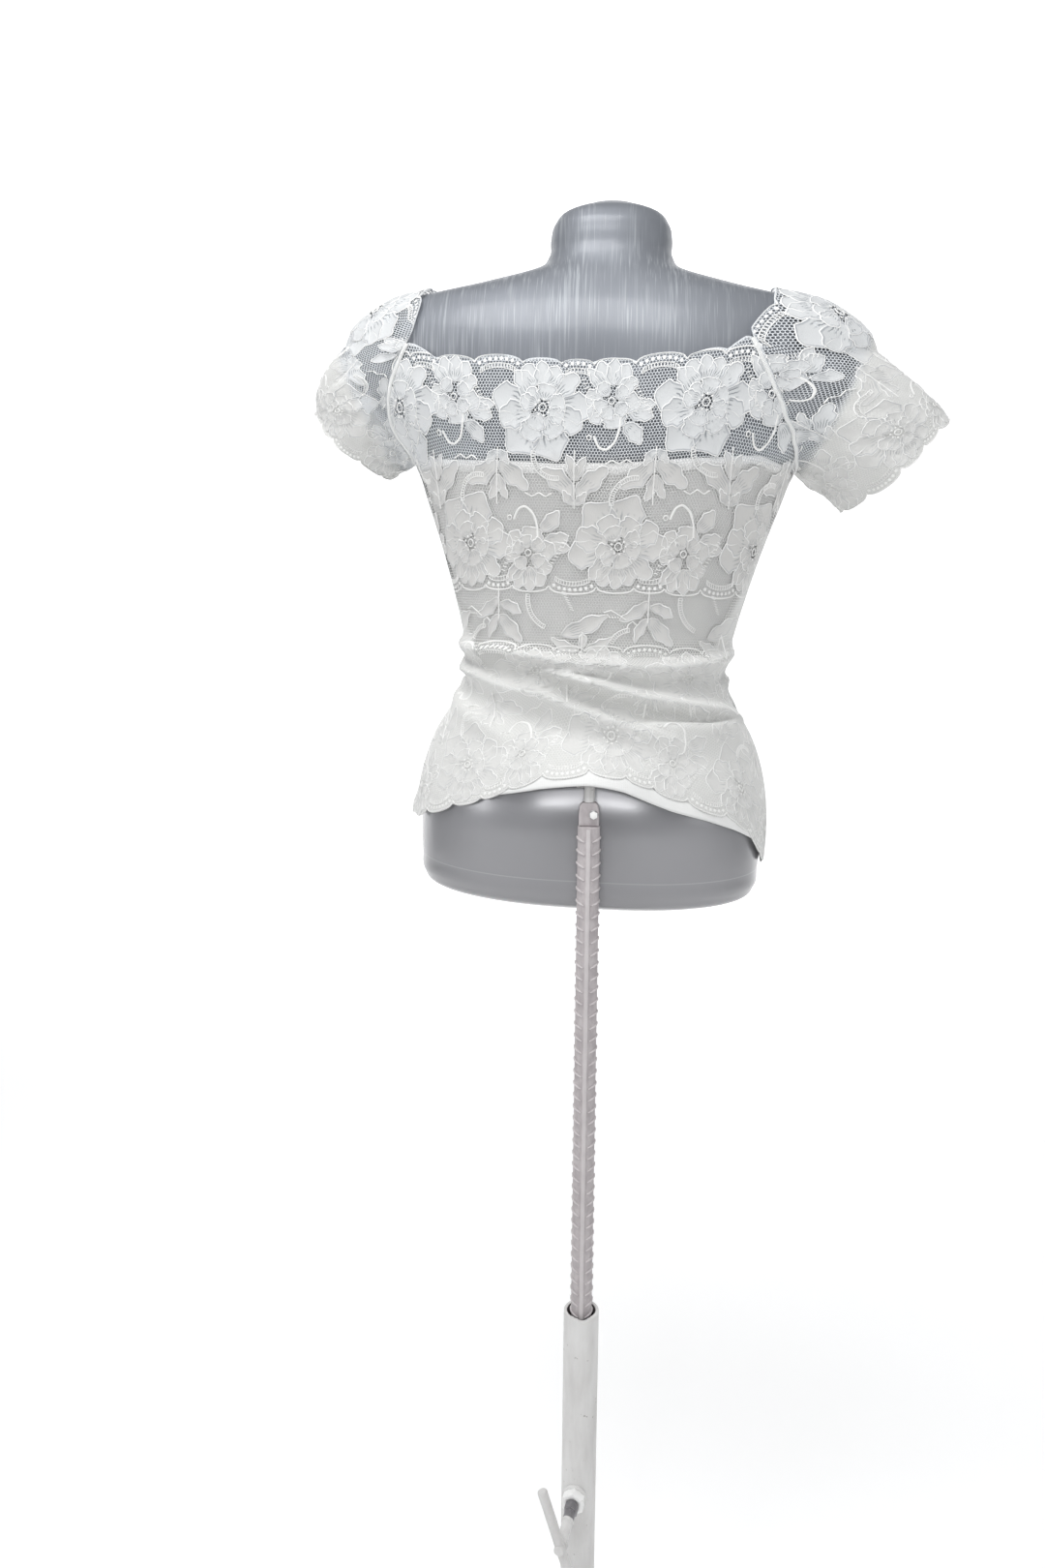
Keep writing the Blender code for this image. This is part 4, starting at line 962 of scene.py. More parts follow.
REPEAT_DRAWING = draw_repeat()
SPRAY_DRAWING = draw_spray()
for drawing in (REPEAT_DRAWING, SPRAY_DRAWING):
    print("triangles in a drawing:", sum(len(f) - 2 for f in drawing.faces))

# %% [markdown]
# ## From flat cloth to the body
# The drawing is flat and the body isn't. For each pattern piece, u is the real length round
# the body from its middle, and v is the length of cloth below the neckline. Between the waist
# and the hips the cloth is bunched, so there more of v fits into the same rise. The tables
# below say at which rise each row of the pattern lies, and the two functions turn body places
# into cloth places and back.

# %% The cut of a panel
LACE_OUT = 0.0040
LACE_THICK = 0.0005
ROW_STOPS = np.array([0.0, 0.176, 0.231, 0.300, 0.352, 0.407])
ROW_RISES = (0.2833, 0.2280)
HEM_CLEAR = 0.048
BUNCHED = 0.55
LEVEL_STEP = 0.01
DEGREE_LENGTH = 0.0027
PLACE_STEPS = 6
EDGE_ROOM = 0.0003


class Panel:
    """The back or the front of lace: its edges, and how its flat cut lies on the body."""

    def __init__(self, name, start, end, top, corners, neck, phase):
        self.name, self.start, self.end, self.top = name, start, end, top
        self.corners, self.neck, self.phase = corners, neck, phase
        self.middle = (start + end) / 2
        self.angles = np.arange(start - 4, end + 4.1, 1.0)
        self.rises = np.arange(0.02, 0.531, LEVEL_STEP)
        points = cloth(self.angles[None, :], self.rises[:, None], LACE_OUT, False)
        steps = np.linalg.norm(np.diff(points, axis=1), axis=2)
        lengths = np.concatenate([np.zeros((len(self.rises), 1)), np.cumsum(steps, axis=1)], 1)
        centre = [np.interp(self.middle, self.angles, row) for row in lengths]
        self.reach = lengths - np.array(centre)[:, None]

    def row_rises(self, angle):
        hem = along(LACE_HEM, angle)
        low = hem + HEM_CLEAR
        middle = ROW_RISES[1] * (1 - BUNCHED) + low * BUNCHED
        return [along(self.neck, angle), np.full_like(hem, ROW_RISES[0]),
                np.full_like(hem, ROW_RISES[1]), middle, low, hem]

    def rise_at(self, angle, v):
        """The rise of cloth that lies v below the neckline, from one row of the cut to the next."""
        stops = self.row_rises(angle)
        found = stops[0] - (v - ROW_STOPS[0]) * (stops[0] - stops[1]) / ROW_STOPS[1]
        for i in range(1, len(stops) - 1):
            run = (v - ROW_STOPS[i]) / (ROW_STOPS[i + 1] - ROW_STOPS[i])
            found = np.where(v > ROW_STOPS[i], stops[i] + (stops[i + 1] - stops[i]) * run, found)
        return found

    def v_at(self, angle, rise):
        """How far below the neckline the cloth at a rise lies on its cut."""
        stops = self.row_rises(angle)
        found = (stops[0] - rise) * ROW_STOPS[1] / (stops[0] - stops[1])
        for i in range(1, len(stops) - 1):
            run = (stops[i] - rise) / (stops[i] - stops[i + 1])
            width = ROW_STOPS[i + 1] - ROW_STOPS[i]
            found = np.where(rise < stops[i], ROW_STOPS[i] + width * run, found)
        return found

    def level(self, rise):
        """Where a rise lies among the levels at which the lengths are known."""
        return np.clip((rise - self.rises[0]) / LEVEL_STEP, 0, len(self.rises) - 1.001)

    def u_at(self, angle, rise):
        """The length round the body from the panel's middle."""
        r = self.level(rise)
        a = np.clip(angle - self.angles[0], 0, len(self.angles) - 1.001)
        i, j = r.astype(int), a.astype(int)
        r, a = r - i, a - j
        low = self.reach[i, j] * (1 - a) + self.reach[i, j + 1] * a
        high = self.reach[i + 1, j] * (1 - a) + self.reach[i + 1, j + 1] * a
        return low * (1 - r) + high * r

    def angle_at(self, u, rise):
        """The angle of cloth that lies u round from the middle, at a rise."""
        r = self.level(rise)
        i = r.astype(int)
        low, high = np.zeros_like(u), np.zeros_like(u)
        for row in range(len(self.rises) - 1):
            here = i == row
            if here.any():
                low[here] = np.interp(u[here], self.reach[row], self.angles)
                high[here] = np.interp(u[here], self.reach[row + 1], self.angles)
        return low + (high - low) * (r - i)

    def body_place(self, u, v):
        """Angle and rise of points of the flat cut, found in a few steps."""
        angle = self.middle + u / DEGREE_LENGTH
        for _ in range(PLACE_STEPS):
            rise = self.rise_at(angle, v)
            angle = self.angle_at(u, rise)
        return angle, self.rise_at(angle, v)

    def kept_inside(self, angle, rise):
        """Angle and rise kept inside the panel, and which points were inside it before."""
        low, high = self.lower_edge(angle) + EDGE_ROOM, self.upper_edge(angle) - EDGE_ROOM
        inside = ((angle > self.start + 0.2) & (angle < self.end - 0.2)
                  & (rise > low) & (rise < high))
        angle = np.clip(angle, self.start + 0.1, self.end - 0.1)
        return angle, np.clip(rise, low, high), inside

    @staticmethod
    def raised(angle, rise, height):
        return cloth(angle, rise, LACE_OUT + LACE_THICK + height, True)

    def upper_edge(self, angle):
        """The rise of the panel's upper edge: armholes as cut, scallops between the corners."""
        plain = along(self.top, angle)
        within = (angle >= self.corners[0]) & (angle <= self.corners[1])
        u = self.u_at(angle, plain)
        arches = arch_height(u * 1000 - self.phase) / 1000
        ends = np.minimum(angle - self.corners[0], self.corners[1] - angle)
        return plain + np.where(within, arches * np.clip(ends / 1.5, 0, 1), 0)

    def lower_edge(self, angle):
        hem = along(LACE_HEM, angle)
        u = self.u_at(angle, hem)
        return hem - arch_height(u * 1000 - self.phase - REPEAT / 2) / 1000


BACK_NECK = {0: 0.455, 46: 0.470, 62: 0.462, 92: 0.459, 106: 0.466, 118: 0.474, 180: 0.455}
FRONT_NECK = {180: 0.455, 231: 0.466, 254: 0.446, 268: 0.440, 284: 0.441, 300: 0.450,
              319: 0.466, 360: 0.455}
BACK_PHASE, FRONT_PHASE = -50.0, 12.0
back_panel = Panel("lace_back", 0, 180, BACK_TOP, BACK_CORNERS, BACK_NECK, BACK_PHASE)
front_panel = Panel("lace_front", 180, 360, FRONT_TOP, FRONT_CORNERS, FRONT_NECK, FRONT_PHASE)


def back_width(rise):
    """The real length round the back from side to side, in metres."""
    ends = [float(back_panel.u_at(np.array(angle), np.array(rise))) for angle in (180.0, 0.0)]
    return round(ends[0] - ends[1], 3)


print("width of the back at the hem, m:", back_width(0.05))

# %% [markdown]
# ## The lace's net and motifs
# The net is too fine for geometry, so the sheet's material cuts it: round holes in staggered
# rows let light through, and the threads between them stay. Where the cloth is doubled the
# holes are closed and painted darker, as painted shade. The motifs are real relief that lies on
# the net. Their fill is a dense knit with a few uneven slits near each petal's root, painted
# dark as the grey form seen through them and as painted shade over the lining. Their cords are
# whiter than the fill and fade into it near the root, and a painted shadow darkens the fill
# just inside each cord.

# %% Net and motif finishes
NET_PITCH = 0.0026
NET_HOLE = 0.440


def doubled_cloth(recipe, place):
    """1 where the cloth lies on itself and hides what is below: the bunched waist and cuffs."""
    x, _, z = recipe.parts(place)
    waist = 1 - recipe.ramp(z, FORM_BOTTOM + 0.205, FORM_BOTTOM + 0.245)
    beyond_stump = x.math("ABSOLUTE") - (z - FORM_BOTTOM - 0.396) * 0.49
    cuffs = recipe.ramp(beyond_stump, 0.180, 0.192)
    return waist.math("MAXIMUM", cuffs)


def over_silver(recipe, place):
    """1 above the lining's upper edge, where the form shows through the lace."""
    _, _, z = recipe.parts(place)
    return recipe.ramp(z, FORM_BOTTOM + 0.380, FORM_BOTTOM + 0.394)


def lace_net():
    recipe = Recipe("lace_net", Sheen_Weight=0.3)
    u, v, edge = recipe.attribute("flat")
    across, down = u * (1 / NET_PITCH), v * (1 / (NET_PITCH * math.sqrt(3)))
    near = None
    for shift in (0.0, 0.5):
        x = (across + shift).math("FRACT") - 0.5
        y = ((down + shift).math("FRACT") - 0.5) * math.sqrt(3)
        away = (x * x + y * y).math("SQRT")
        near = away if near is None else near.math("MINIMUM", away)
    thread = recipe.ramp(near, NET_HOLE - 0.05, NET_HOLE + 0.03)
    place = recipe.object_space()
    tone = recipe.noise(place, 60, 2.0)
    doubled = doubled_cloth(recipe, place)
    base = recipe.mix(tone, (0.77, 0.77, 0.76, 1), (0.84, 0.84, 0.825, 1))
    base = recipe.mix(over_silver(recipe, place), base, (0.83, 0.86, 0.89, 1))
    base = recipe.mix(doubled, base, (0.80, 0.80, 0.78, 1))
    # Where the cloth is doubled its holes are closed and painted darker: painted shade in the
    # holes.
    base = recipe.mix((1 - thread) * doubled * 0.34, base, (0.54, 0.55, 0.54, 1))
    recipe.feed("Alpha", thread.math("MAXIMUM", edge).math("MAXIMUM", doubled * 0.97))
    crumple = recipe.noise(place, 70, 3.0, 0.6)
    return recipe.finish(base, 0.55 + tone * 0.2, thread * 0.12 + crumple * doubled, 0.0028, 0.6)


def lace_motif():
    recipe = Recipe("lace_motif", Sheen_Weight=0.15)
    ahead, side, cord = recipe.attribute("stitch")
    on_cord = recipe.ramp(cord, 0.25, 0.70)
    # Just inside the cord the fill gets a painted shadow of the cord.
    beside = recipe.ramp(cord, -0.16, -0.02) * (1 - on_cord)
    slits = ((side * 3.2 + 0.3).math("FRACT") - 0.5).math("ABSOLUTE")
    place = recipe.object_space()
    silver_below = over_silver(recipe, place)
    whiter = on_cord * (0.25 + recipe.ramp(ahead, 0.25, 0.55) * 0.75) * (0.78 + silver_below * 0.22)
    uneven = recipe.noise(place, 110, 1.0)
    near_root = recipe.ramp(ahead, 0.14, 0.22) * (1 - recipe.ramp(ahead + uneven * 0.5, 0.62, 0.80))
    # Slits near the root are painted dark: the grey form seen through them over the silver, and
    # painted shade over the lining.
    slit = near_root * (slits < 0.16) * (side.math("ABSOLUTE") < 0.80) * (1 - on_cord)
    slit = slit * recipe.ramp(uneven, 0.36, 0.46)
    knit = recipe.noise(place, (1500, 1500, 700), 1.0)
    tone = recipe.noise(place, 45, 2.0)
    doubled = doubled_cloth(recipe, place)
    fill = recipe.mix(tone, (0.665, 0.68, 0.69, 1), (0.74, 0.755, 0.76, 1))
    fill = recipe.mix(silver_below, (0.63, 0.625, 0.61, 1), fill)
    fill = recipe.mix(doubled, fill, (0.70, 0.70, 0.685, 1))
    # The painted shadow and the slits are darker where the form is below the lace.
    depth = 0.62 + silver_below * 0.38
    fill = recipe.mix(beside * (0.75 - doubled * 0.25) * depth, fill, (0.36, 0.38, 0.41, 1))
    fill = recipe.mix(slit * (0.9 - doubled * 0.45) * depth, fill, (0.26, 0.28, 0.30, 1))
    crumple = recipe.noise(place, 70, 3.0, 0.6)
    return recipe.finish(recipe.mix(whiter, fill, (0.97, 0.97, 0.955, 1)), 0.64 - on_cord * 0.12,
                         knit * 0.14 - slit * 0.09 + crumple * doubled, 0.0028, 0.5)


NET, MOTIF = lace_net(), lace_motif()
print("finishes:", NET.name, MOTIF.name)

# %% [markdown]
# ## The lace panels
# Each panel is a grid between its upper edge and its hem, thickened inwards. Both edges carry
# the scallops, so the grid's first and last rows follow them.

# %% Back and front of lace
PANEL_COLUMNS, PANEL_ROWS = 210, 150
RIM_WIDTH = 0.0008
HALF_BANDS = ((0.0, 1, 0.0), (BAND, -1, REPEAT / 2))
SECOND_BAND = 231.0


def even_angles(panel, count):
    """Column angles a like length apart at the bust."""
    rise = np.full(400, 0.33)
    angles = np.linspace(panel.start + SIDE_GAP, panel.end - SIDE_GAP, 400)
    u = panel.u_at(angles, rise)
    return np.interp(np.linspace(u[0], u[-1], count), u, angles)


def lace_sheet(panel):
    angles = even_angles(panel, PANEL_COLUMNS)
    top, hem = panel.upper_edge(angles), panel.lower_edge(angles)
    rises = between(top, hem, PANEL_ROWS)
    angles = np.broadcast_to(angles, rises.shape)
    rim = ((top - rises < RIM_WIDTH) | (rises - hem < RIM_WIDTH)).astype(float)
    return cloth_sheet(panel.name + "_net", panel.raised(angles, rises, 0.0),
                       grid_faces(*rises.shape, False),
                       (panel.u_at(angles, rises), panel.v_at(angles, rises), rim),
                       NET, LACE_THICK)


def panel_motifs(panel):
    """Copies of the repeat over a panel, and of the spray between its two double bands."""
    places = []
    bands = [*HALF_BANDS, *((v + SECOND_BAND, way, shift) for v, way, shift in HALF_BANDS)]
    for k in range(-3, 4):
        for edge_v, way, shift in bands:
            places.append((REPEAT_DRAWING, panel.phase + shift + k * REPEAT, edge_v, way))
        places.append((SPRAY_DRAWING, panel.phase + k * REPEAT, BAND - EDGE_Y, 1))
    return motif_piece(panel.name + "_motifs", places, panel)


def motif_piece(name, places, surface):
    """One mesh of all copies of the repeat on a pattern piece, cut off at its edges."""
    all_points, all_marks, all_faces = [], [], []
    first = 0
    for drawing, u0, v0, way in places:
        flat, marks = np.array(drawing.points), np.array(drawing.marks)
        groups = np.array(drawing.groups)
        u = (flat[:, 0] + u0) / 1000
        v = (v0 - way * (flat[:, 1] - EDGE_Y)) / 1000
        a, b, inside = surface.kept_inside(*surface.body_place(u, v))
        shown = set(groups[inside])
        faces = [f[::-way] for f in drawing.faces if groups[f[0]] in shown and inside[f].any()]
        if not faces:
            continue
        used = np.unique(np.concatenate(faces))
        place_of = -np.ones(len(flat), int)
        place_of[used] = np.arange(len(used)) + first
        all_points.append(surface.raised(a[used], b[used], flat[used, 2] / 1000))
        all_marks.append(marks[used])
        all_faces += [[int(place_of[i]) for i in f] for f in faces]
        first += len(used)
    made = new_piece(name, np.vstack(all_points), all_faces, MOTIF)
    set_attribute(made, "stitch", np.vstack(all_marks))
    return made


def finished_lace(name, net, motifs):
    """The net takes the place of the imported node, and the motifs lie on it."""
    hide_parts(name)
    for piece in (net, motifs):
        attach(piece, "form")
    print(name, "triangles:", triangles(net), "net,", triangles(motifs), "motifs")
    return net, motifs


lace_pieces = {}
for panel in (back_panel, front_panel):
    lace_pieces[panel.name] = finished_lace(panel.name, lace_sheet(panel), panel_motifs(panel))

# %% [markdown]
# ## The sleeves
# A sleeve is a short flared tube. Below the shoulder it is sewn to both panels round the
# armhole, and over the shoulder its upper edge is the neckline. Nothing of it may touch the
# form, so a tree of the form's faces finds the nearest place on it for any point.

# %% Sleeve measures and clearances
Sleeve = namedtuple("Sleeve", "side neck_x cuff_centre cuff_up cuff_back flutes flute phase")
SLEEVES = [
    Sleeve("left", 0.154, (0.229, -0.022, 0.409), (0.033, -0.028, 0.032), (0.016, 0.047, 0.004),
           5, 0.0024, 40.0),
    Sleeve("right", 0.141, (0.254, -0.004, 0.400), (0.042, -0.006, 0.040),
           (0.004, 0.052, -0.004), 5, 0.0030, 40.0),
]
STUMP_TOP, STUMP_BOTTOM = (0.231, 0.0, 0.488), (0.186, 0.0, 0.396)
STUMP_HALF_DEPTH = 0.066
SLEEVE_CLEAR = 0.0054
NECK_CLEAR = 0.0034
SEAM_GAP = 0.0003
CREASE_ROOM = 0.0025
CREASED_SHARE = 0.44
SEAM_COLUMNS, NECK_COLUMNS = 46, 92
GRID_ROWS = 70
TEST_ROW, TEST_COLUMN = 35, 60
PAST_EDGE = 0.07
CUFF_ROOM = 0.003
SLEEVE_REPEATS = 3
AROUND_SLEEVE = SLEEVE_REPEATS * REPEAT / 1000


def spaced(points, count):
    """A line of points as evenly spaced ones, with that count of gaps."""
    points = np.asarray(points, float)
    lengths = np.concatenate([[0], np.cumsum(np.linalg.norm(np.diff(points, axis=0), axis=1))])
    wanted = np.linspace(0, lengths[-1], count + 1)
    return np.stack([np.interp(wanted, lengths, points[:, k]) for k in range(3)], axis=1)


def smooth_line(guide, count):
    """Evenly spaced points on a smooth curve through a few guide points."""
    guide = np.asarray(guide, float)
    stops = np.concatenate([[0], np.cumsum(np.linalg.norm(np.diff(guide, axis=0), axis=1))])
    fine = np.linspace(0, stops[-1], 240)
    return spaced(np.stack([smooth_curve(stops, guide[:, k], fine) for k in range(3)], 1), count)


def clear_of_form(point, gap, most=None):
    """The point, or the nearest one that keeps a gap to the form, and no more than a most."""
    near, normal, _, _ = form_tree.find_nearest(Vector(point))
    height = (Vector(point) - near).dot(normal)
    if most is not None:
        return np.array(near + normal * min(max(height, gap), most))
    return np.array(point if height > gap else near + normal * gap)


def laid_on_form(point, share):
    """Cloth over the shoulder: flat on the form at the neckline, and free of it lower down."""
    least = NECK_CLEAR + (SLEEVE_CLEAR - NECK_CLEAR) * min(1.0, share / 0.15)
    return clear_of_form(point, least, least + share * 0.060 if share < 0.5 else None)


def seam_edge(panel, start, end):
    """Points of an armhole edge, with the direction out of the cloth and up from the edge."""
    angles = np.linspace(start, end, SEAM_COLUMNS)
    rises = along(panel.top, angles)
    points = cloth(angles, rises, LACE_OUT, True)
    out = outward(angles, rises)
    run = np.gradient(points, axis=0) * (1 if end > start else -1)
    return points, out, unit(np.cross(out, run))


print("flat length round a sleeve, m:", AROUND_SLEEVE)

# %% [markdown]
# Each line of the sleeve runs from the loop of its seam and neckline, out past the form's
# stump, to the cuff's oval. The lines make a fine grid of places, and both the net and the
# motifs read their points from it. Flutes and small creases move the places out or in.

# %% Sleeve grid
class SleeveGrid:
    """A fine grid of places on a sleeve, with rows beyond both edges for the scallops."""

    def __init__(self, row, back_seam, front_seam):
        self.row = row
        self.sign = 1 if row.side == "left" else -1
        neck = self.neckline(back_seam[0][-1], front_seam[0][0])
        loop = np.vstack([back_seam[0][:-1] + back_seam[2][:-1] * SEAM_GAP, neck,
                          front_seam[0][1:] + front_seam[2][1:] * SEAM_GAP])
        self.is_neck = np.zeros(len(loop), bool)
        self.is_neck[SEAM_COLUMNS - 1:SEAM_COLUMNS + NECK_COLUMNS] = True
        out, up = (np.vstack([back_seam[k][:-1], np.zeros_like(neck), front_seam[k][1:]])
                   for k in (1, 2))
        steps = np.linalg.norm(np.roll(loop, -1, axis=0) - loop, axis=1)
        self.turns = 2 * np.pi * np.concatenate([[0], np.cumsum(steps)[:-1]]) / steps.sum()
        low, high = self.at(*STUMP_BOTTOM), self.at(*STUMP_TOP)
        self.middle, self.half = (low + high) / 2, (high - low) / 2
        self.centre = self.at(*row.cuff_centre)
        self.cuff_up, self.cuff_back = (np.array([self.sign * way[0], *way[1:]])
                                        for way in (row.cuff_up, row.cuff_back))
        self.shares = np.linspace(-PAST_EDGE, 1 + PAST_EDGE, GRID_ROWS)
        self.grid = np.zeros((GRID_ROWS, len(loop), 3))
        self.lengths = np.zeros(len(loop))
        for i, (start, turn) in enumerate(zip(loop, self.turns)):
            line, self.lengths[i] = self.guide_line(start, turn)
            for r, share in enumerate(self.shares):
                point = self.fluted(line[r], turn, share)
                if self.is_neck[i]:
                    point = laid_on_form(point, max(0.0, share))
                else:
                    point = clear_of_form(point, SLEEVE_CLEAR)
                if not self.is_neck[i] and share <= CREASED_SHARE:
                    room = (point - start).dot(up[i]) + (point - start).dot(out[i]) / 2
                    point = point + up[i] * max(0.0, CREASE_ROOM * min(1, share * 12) - room)
                self.grid[r, i] = point
        self.stretch = BAND / 1000 / float(np.mean(self.lengths[self.is_neck]))
        across = np.roll(self.grid, -1, axis=1) - np.roll(self.grid, 1, axis=1)
        normals = unit(np.cross(across, np.gradient(self.grid, axis=0)))
        outwards = self.grid[TEST_ROW, TEST_COLUMN] - self.grid[TEST_ROW].mean(axis=0)
        self.winding = -1 if np.dot(normals[TEST_ROW, TEST_COLUMN], outwards) < 0 else 1
        self.normals = normals * self.winding

    def at(self, x, y, rise):
        """A place on this sleeve's side of the body."""
        return place(np.array(self.sign * x), y, rise)

    def guide_line(self, start, turn):
        """A line from the seam past the stump to the cuff's oval and beyond, and its length."""
        stump = self.middle - self.half * math.cos(turn)
        stump = clear_of_form(stump + [0, STUMP_HALF_DEPTH * math.sin(turn), 0], SLEEVE_CLEAR)
        weight = 0.5 - 0.5 * math.cos(turn)
        end = self.centre - self.cuff_up * math.cos(turn) + self.cuff_back * math.sin(turn)
        # the curve passes this place at two fifths of its way, which fixes its bend
        through = (start * 0.6 + end * 0.4) * (1 - weight) + stump * weight
        bend = (through - 0.36 * start - 0.16 * end) / 0.48
        t = np.clip(self.shares, 0, 1)[:, None]
        line = (1 - t) ** 2 * start + 2 * t * (1 - t) * bend + t * t * end
        length = np.linalg.norm(np.diff(line, axis=0), axis=1).sum()
        down = -unit(np.cross(self.cuff_up, self.cuff_back)) * self.sign
        line += unit(start - bend) * np.maximum(0, -self.shares)[:, None] * length
        line += down * np.maximum(0, self.shares - 1)[:, None] * length
        return line, length

    def fluted(self, point, turn, share):
        """The point moved out or in by the flutes and the creases."""
        away = unit(point - (self.middle + (self.centre - self.middle) * share))
        spread = max(0.0, min(share, 1.0))
        wave = self.row.flute * spread ** 1.5 * math.sin(self.row.flutes * turn + 0.7)
        wave += self.crumple(turn, share)
        return point + away * wave

    @staticmethod
    def crumple(turn, share):
        """Small soft creases, strongest halfway down."""
        weight = math.exp(-((share - 0.55) / 0.3) ** 2)
        waves = math.sin(9 * turn + 7 * share) + math.sin(13 * turn - 11 * share + 1)
        return 0.0011 * weight * waves

    def neckline(self, back_corner, front_corner):
        """The sleeve's upper edge over the shoulder, from corner to corner."""
        x = self.row.neck_x
        top = self.at(x, 0.0, 0.524)
        back = back_corner * 0.45 + self.at(x, 0.045, 0.516) * 0.55
        front = front_corner * 0.45 + self.at(x, -0.038, 0.514) * 0.55
        guide = [back_corner, *(clear_of_form(p, NECK_CLEAR) for p in (back, top, front)),
                 front_corner]
        line = smooth_line(guide, NECK_COLUMNS)
        return np.array([line[0], *(clear_of_form(p, NECK_CLEAR) for p in line[1:-1]), line[-1]])

    def cloth_length(self, turn):
        """The length of cloth from the upper edge to the cuff, the whole band at the shoulder."""
        around = np.append(self.turns, 2 * np.pi)
        lengths = np.append(self.lengths, self.lengths[0])
        found = np.interp(turn % (2 * np.pi), around, lengths)
        return np.minimum(BAND / 1000, found * self.stretch)

    def body_place(self, u, v):
        """Turn and share of points of the flat cut."""
        turn = u / AROUND_SLEEVE * 2 * np.pi
        return turn, 1 - (BAND / 1000 - v) / self.cloth_length(turn)

    def kept_inside(self, turn, share):
        upper, lower = self.limits(turn)
        inside = (share > upper) & (share < lower)
        return turn, np.clip(share, upper + CUFF_ROOM, lower - CUFF_ROOM), inside

    def raised(self, turn, share, height):
        """Points on the sleeve, raised along its own outward directions."""
        around = np.append(self.turns, 2 * np.pi)
        column = np.interp(turn % (2 * np.pi), around, np.arange(len(around)))
        row = np.clip((share + PAST_EDGE) / (1 + 2 * PAST_EDGE) * (GRID_ROWS - 1), 0,
                      GRID_ROWS - 1.001)
        i, j = row.astype(int), column.astype(int) % len(self.turns)
        r, c = (row - i)[..., None], (column - np.floor(column))[..., None]
        after = (j + 1) % len(self.turns)
        result = []
        for table in (self.grid, self.normals):
            low = table[i, j] * (1 - c) + table[i, after] * c
            high = table[i + 1, j] * (1 - c) + table[i + 1, after] * c
            result.append(low * (1 - r) + high * r)
        return result[0] + unit(result[1]) * np.asarray(height + LACE_THICK)[..., None]

    def limits(self, turn):
        """The shares of the upper edge and of the cuff, with their scallops."""
        u = turn / (2 * np.pi) * AROUND_SLEEVE * 1000
        length = self.cloth_length(turn)
        first, last = self.turns[self.is_neck][[0, -1]]
        inner = np.minimum(turn % (2 * np.pi) - first, last - turn % (2 * np.pi))
        upper = (-arch_height(u - self.row.phase) / 1000 / length
                 * np.clip(inner / 0.10, 0, 1))
        lower = 1 + arch_height(u - self.row.phase - REPEAT / 2) / 1000 / length
        return upper, lower


print("lines round a sleeve:", 2 * (SEAM_COLUMNS - 1) + NECK_COLUMNS + 1)

# %% [markdown]
# The sleeves are cut from one double band of the lace, so their motifs are the same drawing,
# three repeats round. Their armhole angles are where each panel's edge is sewn to them.

# %% Net and motifs of the sleeves
SLEEVE_COLUMNS, SLEEVE_ROWS = 200, 84
RIM_SHARE = 0.006
ARMHOLES = {"left": ((0, 46), (319, 360)), "right": ((180, 118), (231, 180))}


def sleeve_sheet(grid):
    turns = np.linspace(0, 2 * np.pi, SLEEVE_COLUMNS, endpoint=False)
    upper, lower = grid.limits(turns)
    shares = between(upper, lower, SLEEVE_ROWS)
    turns = np.broadcast_to(turns, shares.shape)
    faces = grid_faces(*shares.shape, True)[:, ::-grid.winding]
    rim = ((shares - upper < RIM_SHARE) | (lower - shares < RIM_SHARE)).astype(float)
    flat = (turns / (2 * np.pi) * AROUND_SLEEVE,
            BAND / 1000 - (1 - shares) * grid.cloth_length(turns), rim)
    return cloth_sheet("sleeve_" + grid.row.side + "_net", grid.raised(turns, shares, 0.0), faces,
                       flat, NET, LACE_THICK)


def sleeve_motifs(grid):
    places = [(REPEAT_DRAWING, grid.row.phase + shift + k * REPEAT, edge_v, way)
              for edge_v, way, shift in HALF_BANDS for k in range(SLEEVE_REPEATS)]
    return motif_piece("sleeve_" + grid.row.side + "_motifs", places, grid)


armholes = {side: (seam_edge(back_panel, *back_ends), seam_edge(front_panel, *front_ends))
            for side, (back_ends, front_ends) in ARMHOLES.items()}
for row in SLEEVES:
    grid = SleeveGrid(row, *armholes[row.side])
    name = "sleeve_" + row.side
    lace_pieces[name] = finished_lace(name, sleeve_sheet(grid), sleeve_motifs(grid))
    print("length over the shoulder, m:", round(float(grid.lengths[grid.is_neck].mean()), 3))

# %% [markdown]
# ## Seams
# The sleeves are sewn in with a narrow tape of the same lace, and the side seams are bound the
# same way. A tape is a strip that lies on the seam's line, a little domed, and its stitches run
# across it in the material.

# %% Seam tapes
TAPE_HALF_WIDTH, SIDE_HALF_WIDTH = 0.0021, 0.0012
TAPE_THICK = 0.0006
TAPE_SHIFT = -0.0012
SIDE_SEAM_POINTS = 150


def seam_tape_finish():
    recipe = Recipe("seam_tape", Sheen_Weight=0.2)
    u, v, _ = recipe.attribute("flat")
    stitch = (u * (2 * math.pi / 0.0013)).math("SINE") * 0.5 + 0.5
    tone = recipe.noise(recipe.object_space(), 90, 2.0)
    base = recipe.mix(tone, (0.84, 0.85, 0.84, 1), (0.94, 0.945, 0.93, 1))
    return recipe.finish(recipe.mix(stitch * 0.35, base, (0.66, 0.68, 0.68, 1)),
                         0.55 + tone * 0.15, stitch, 0.0004, 0.6)


TAPE = seam_tape_finish()


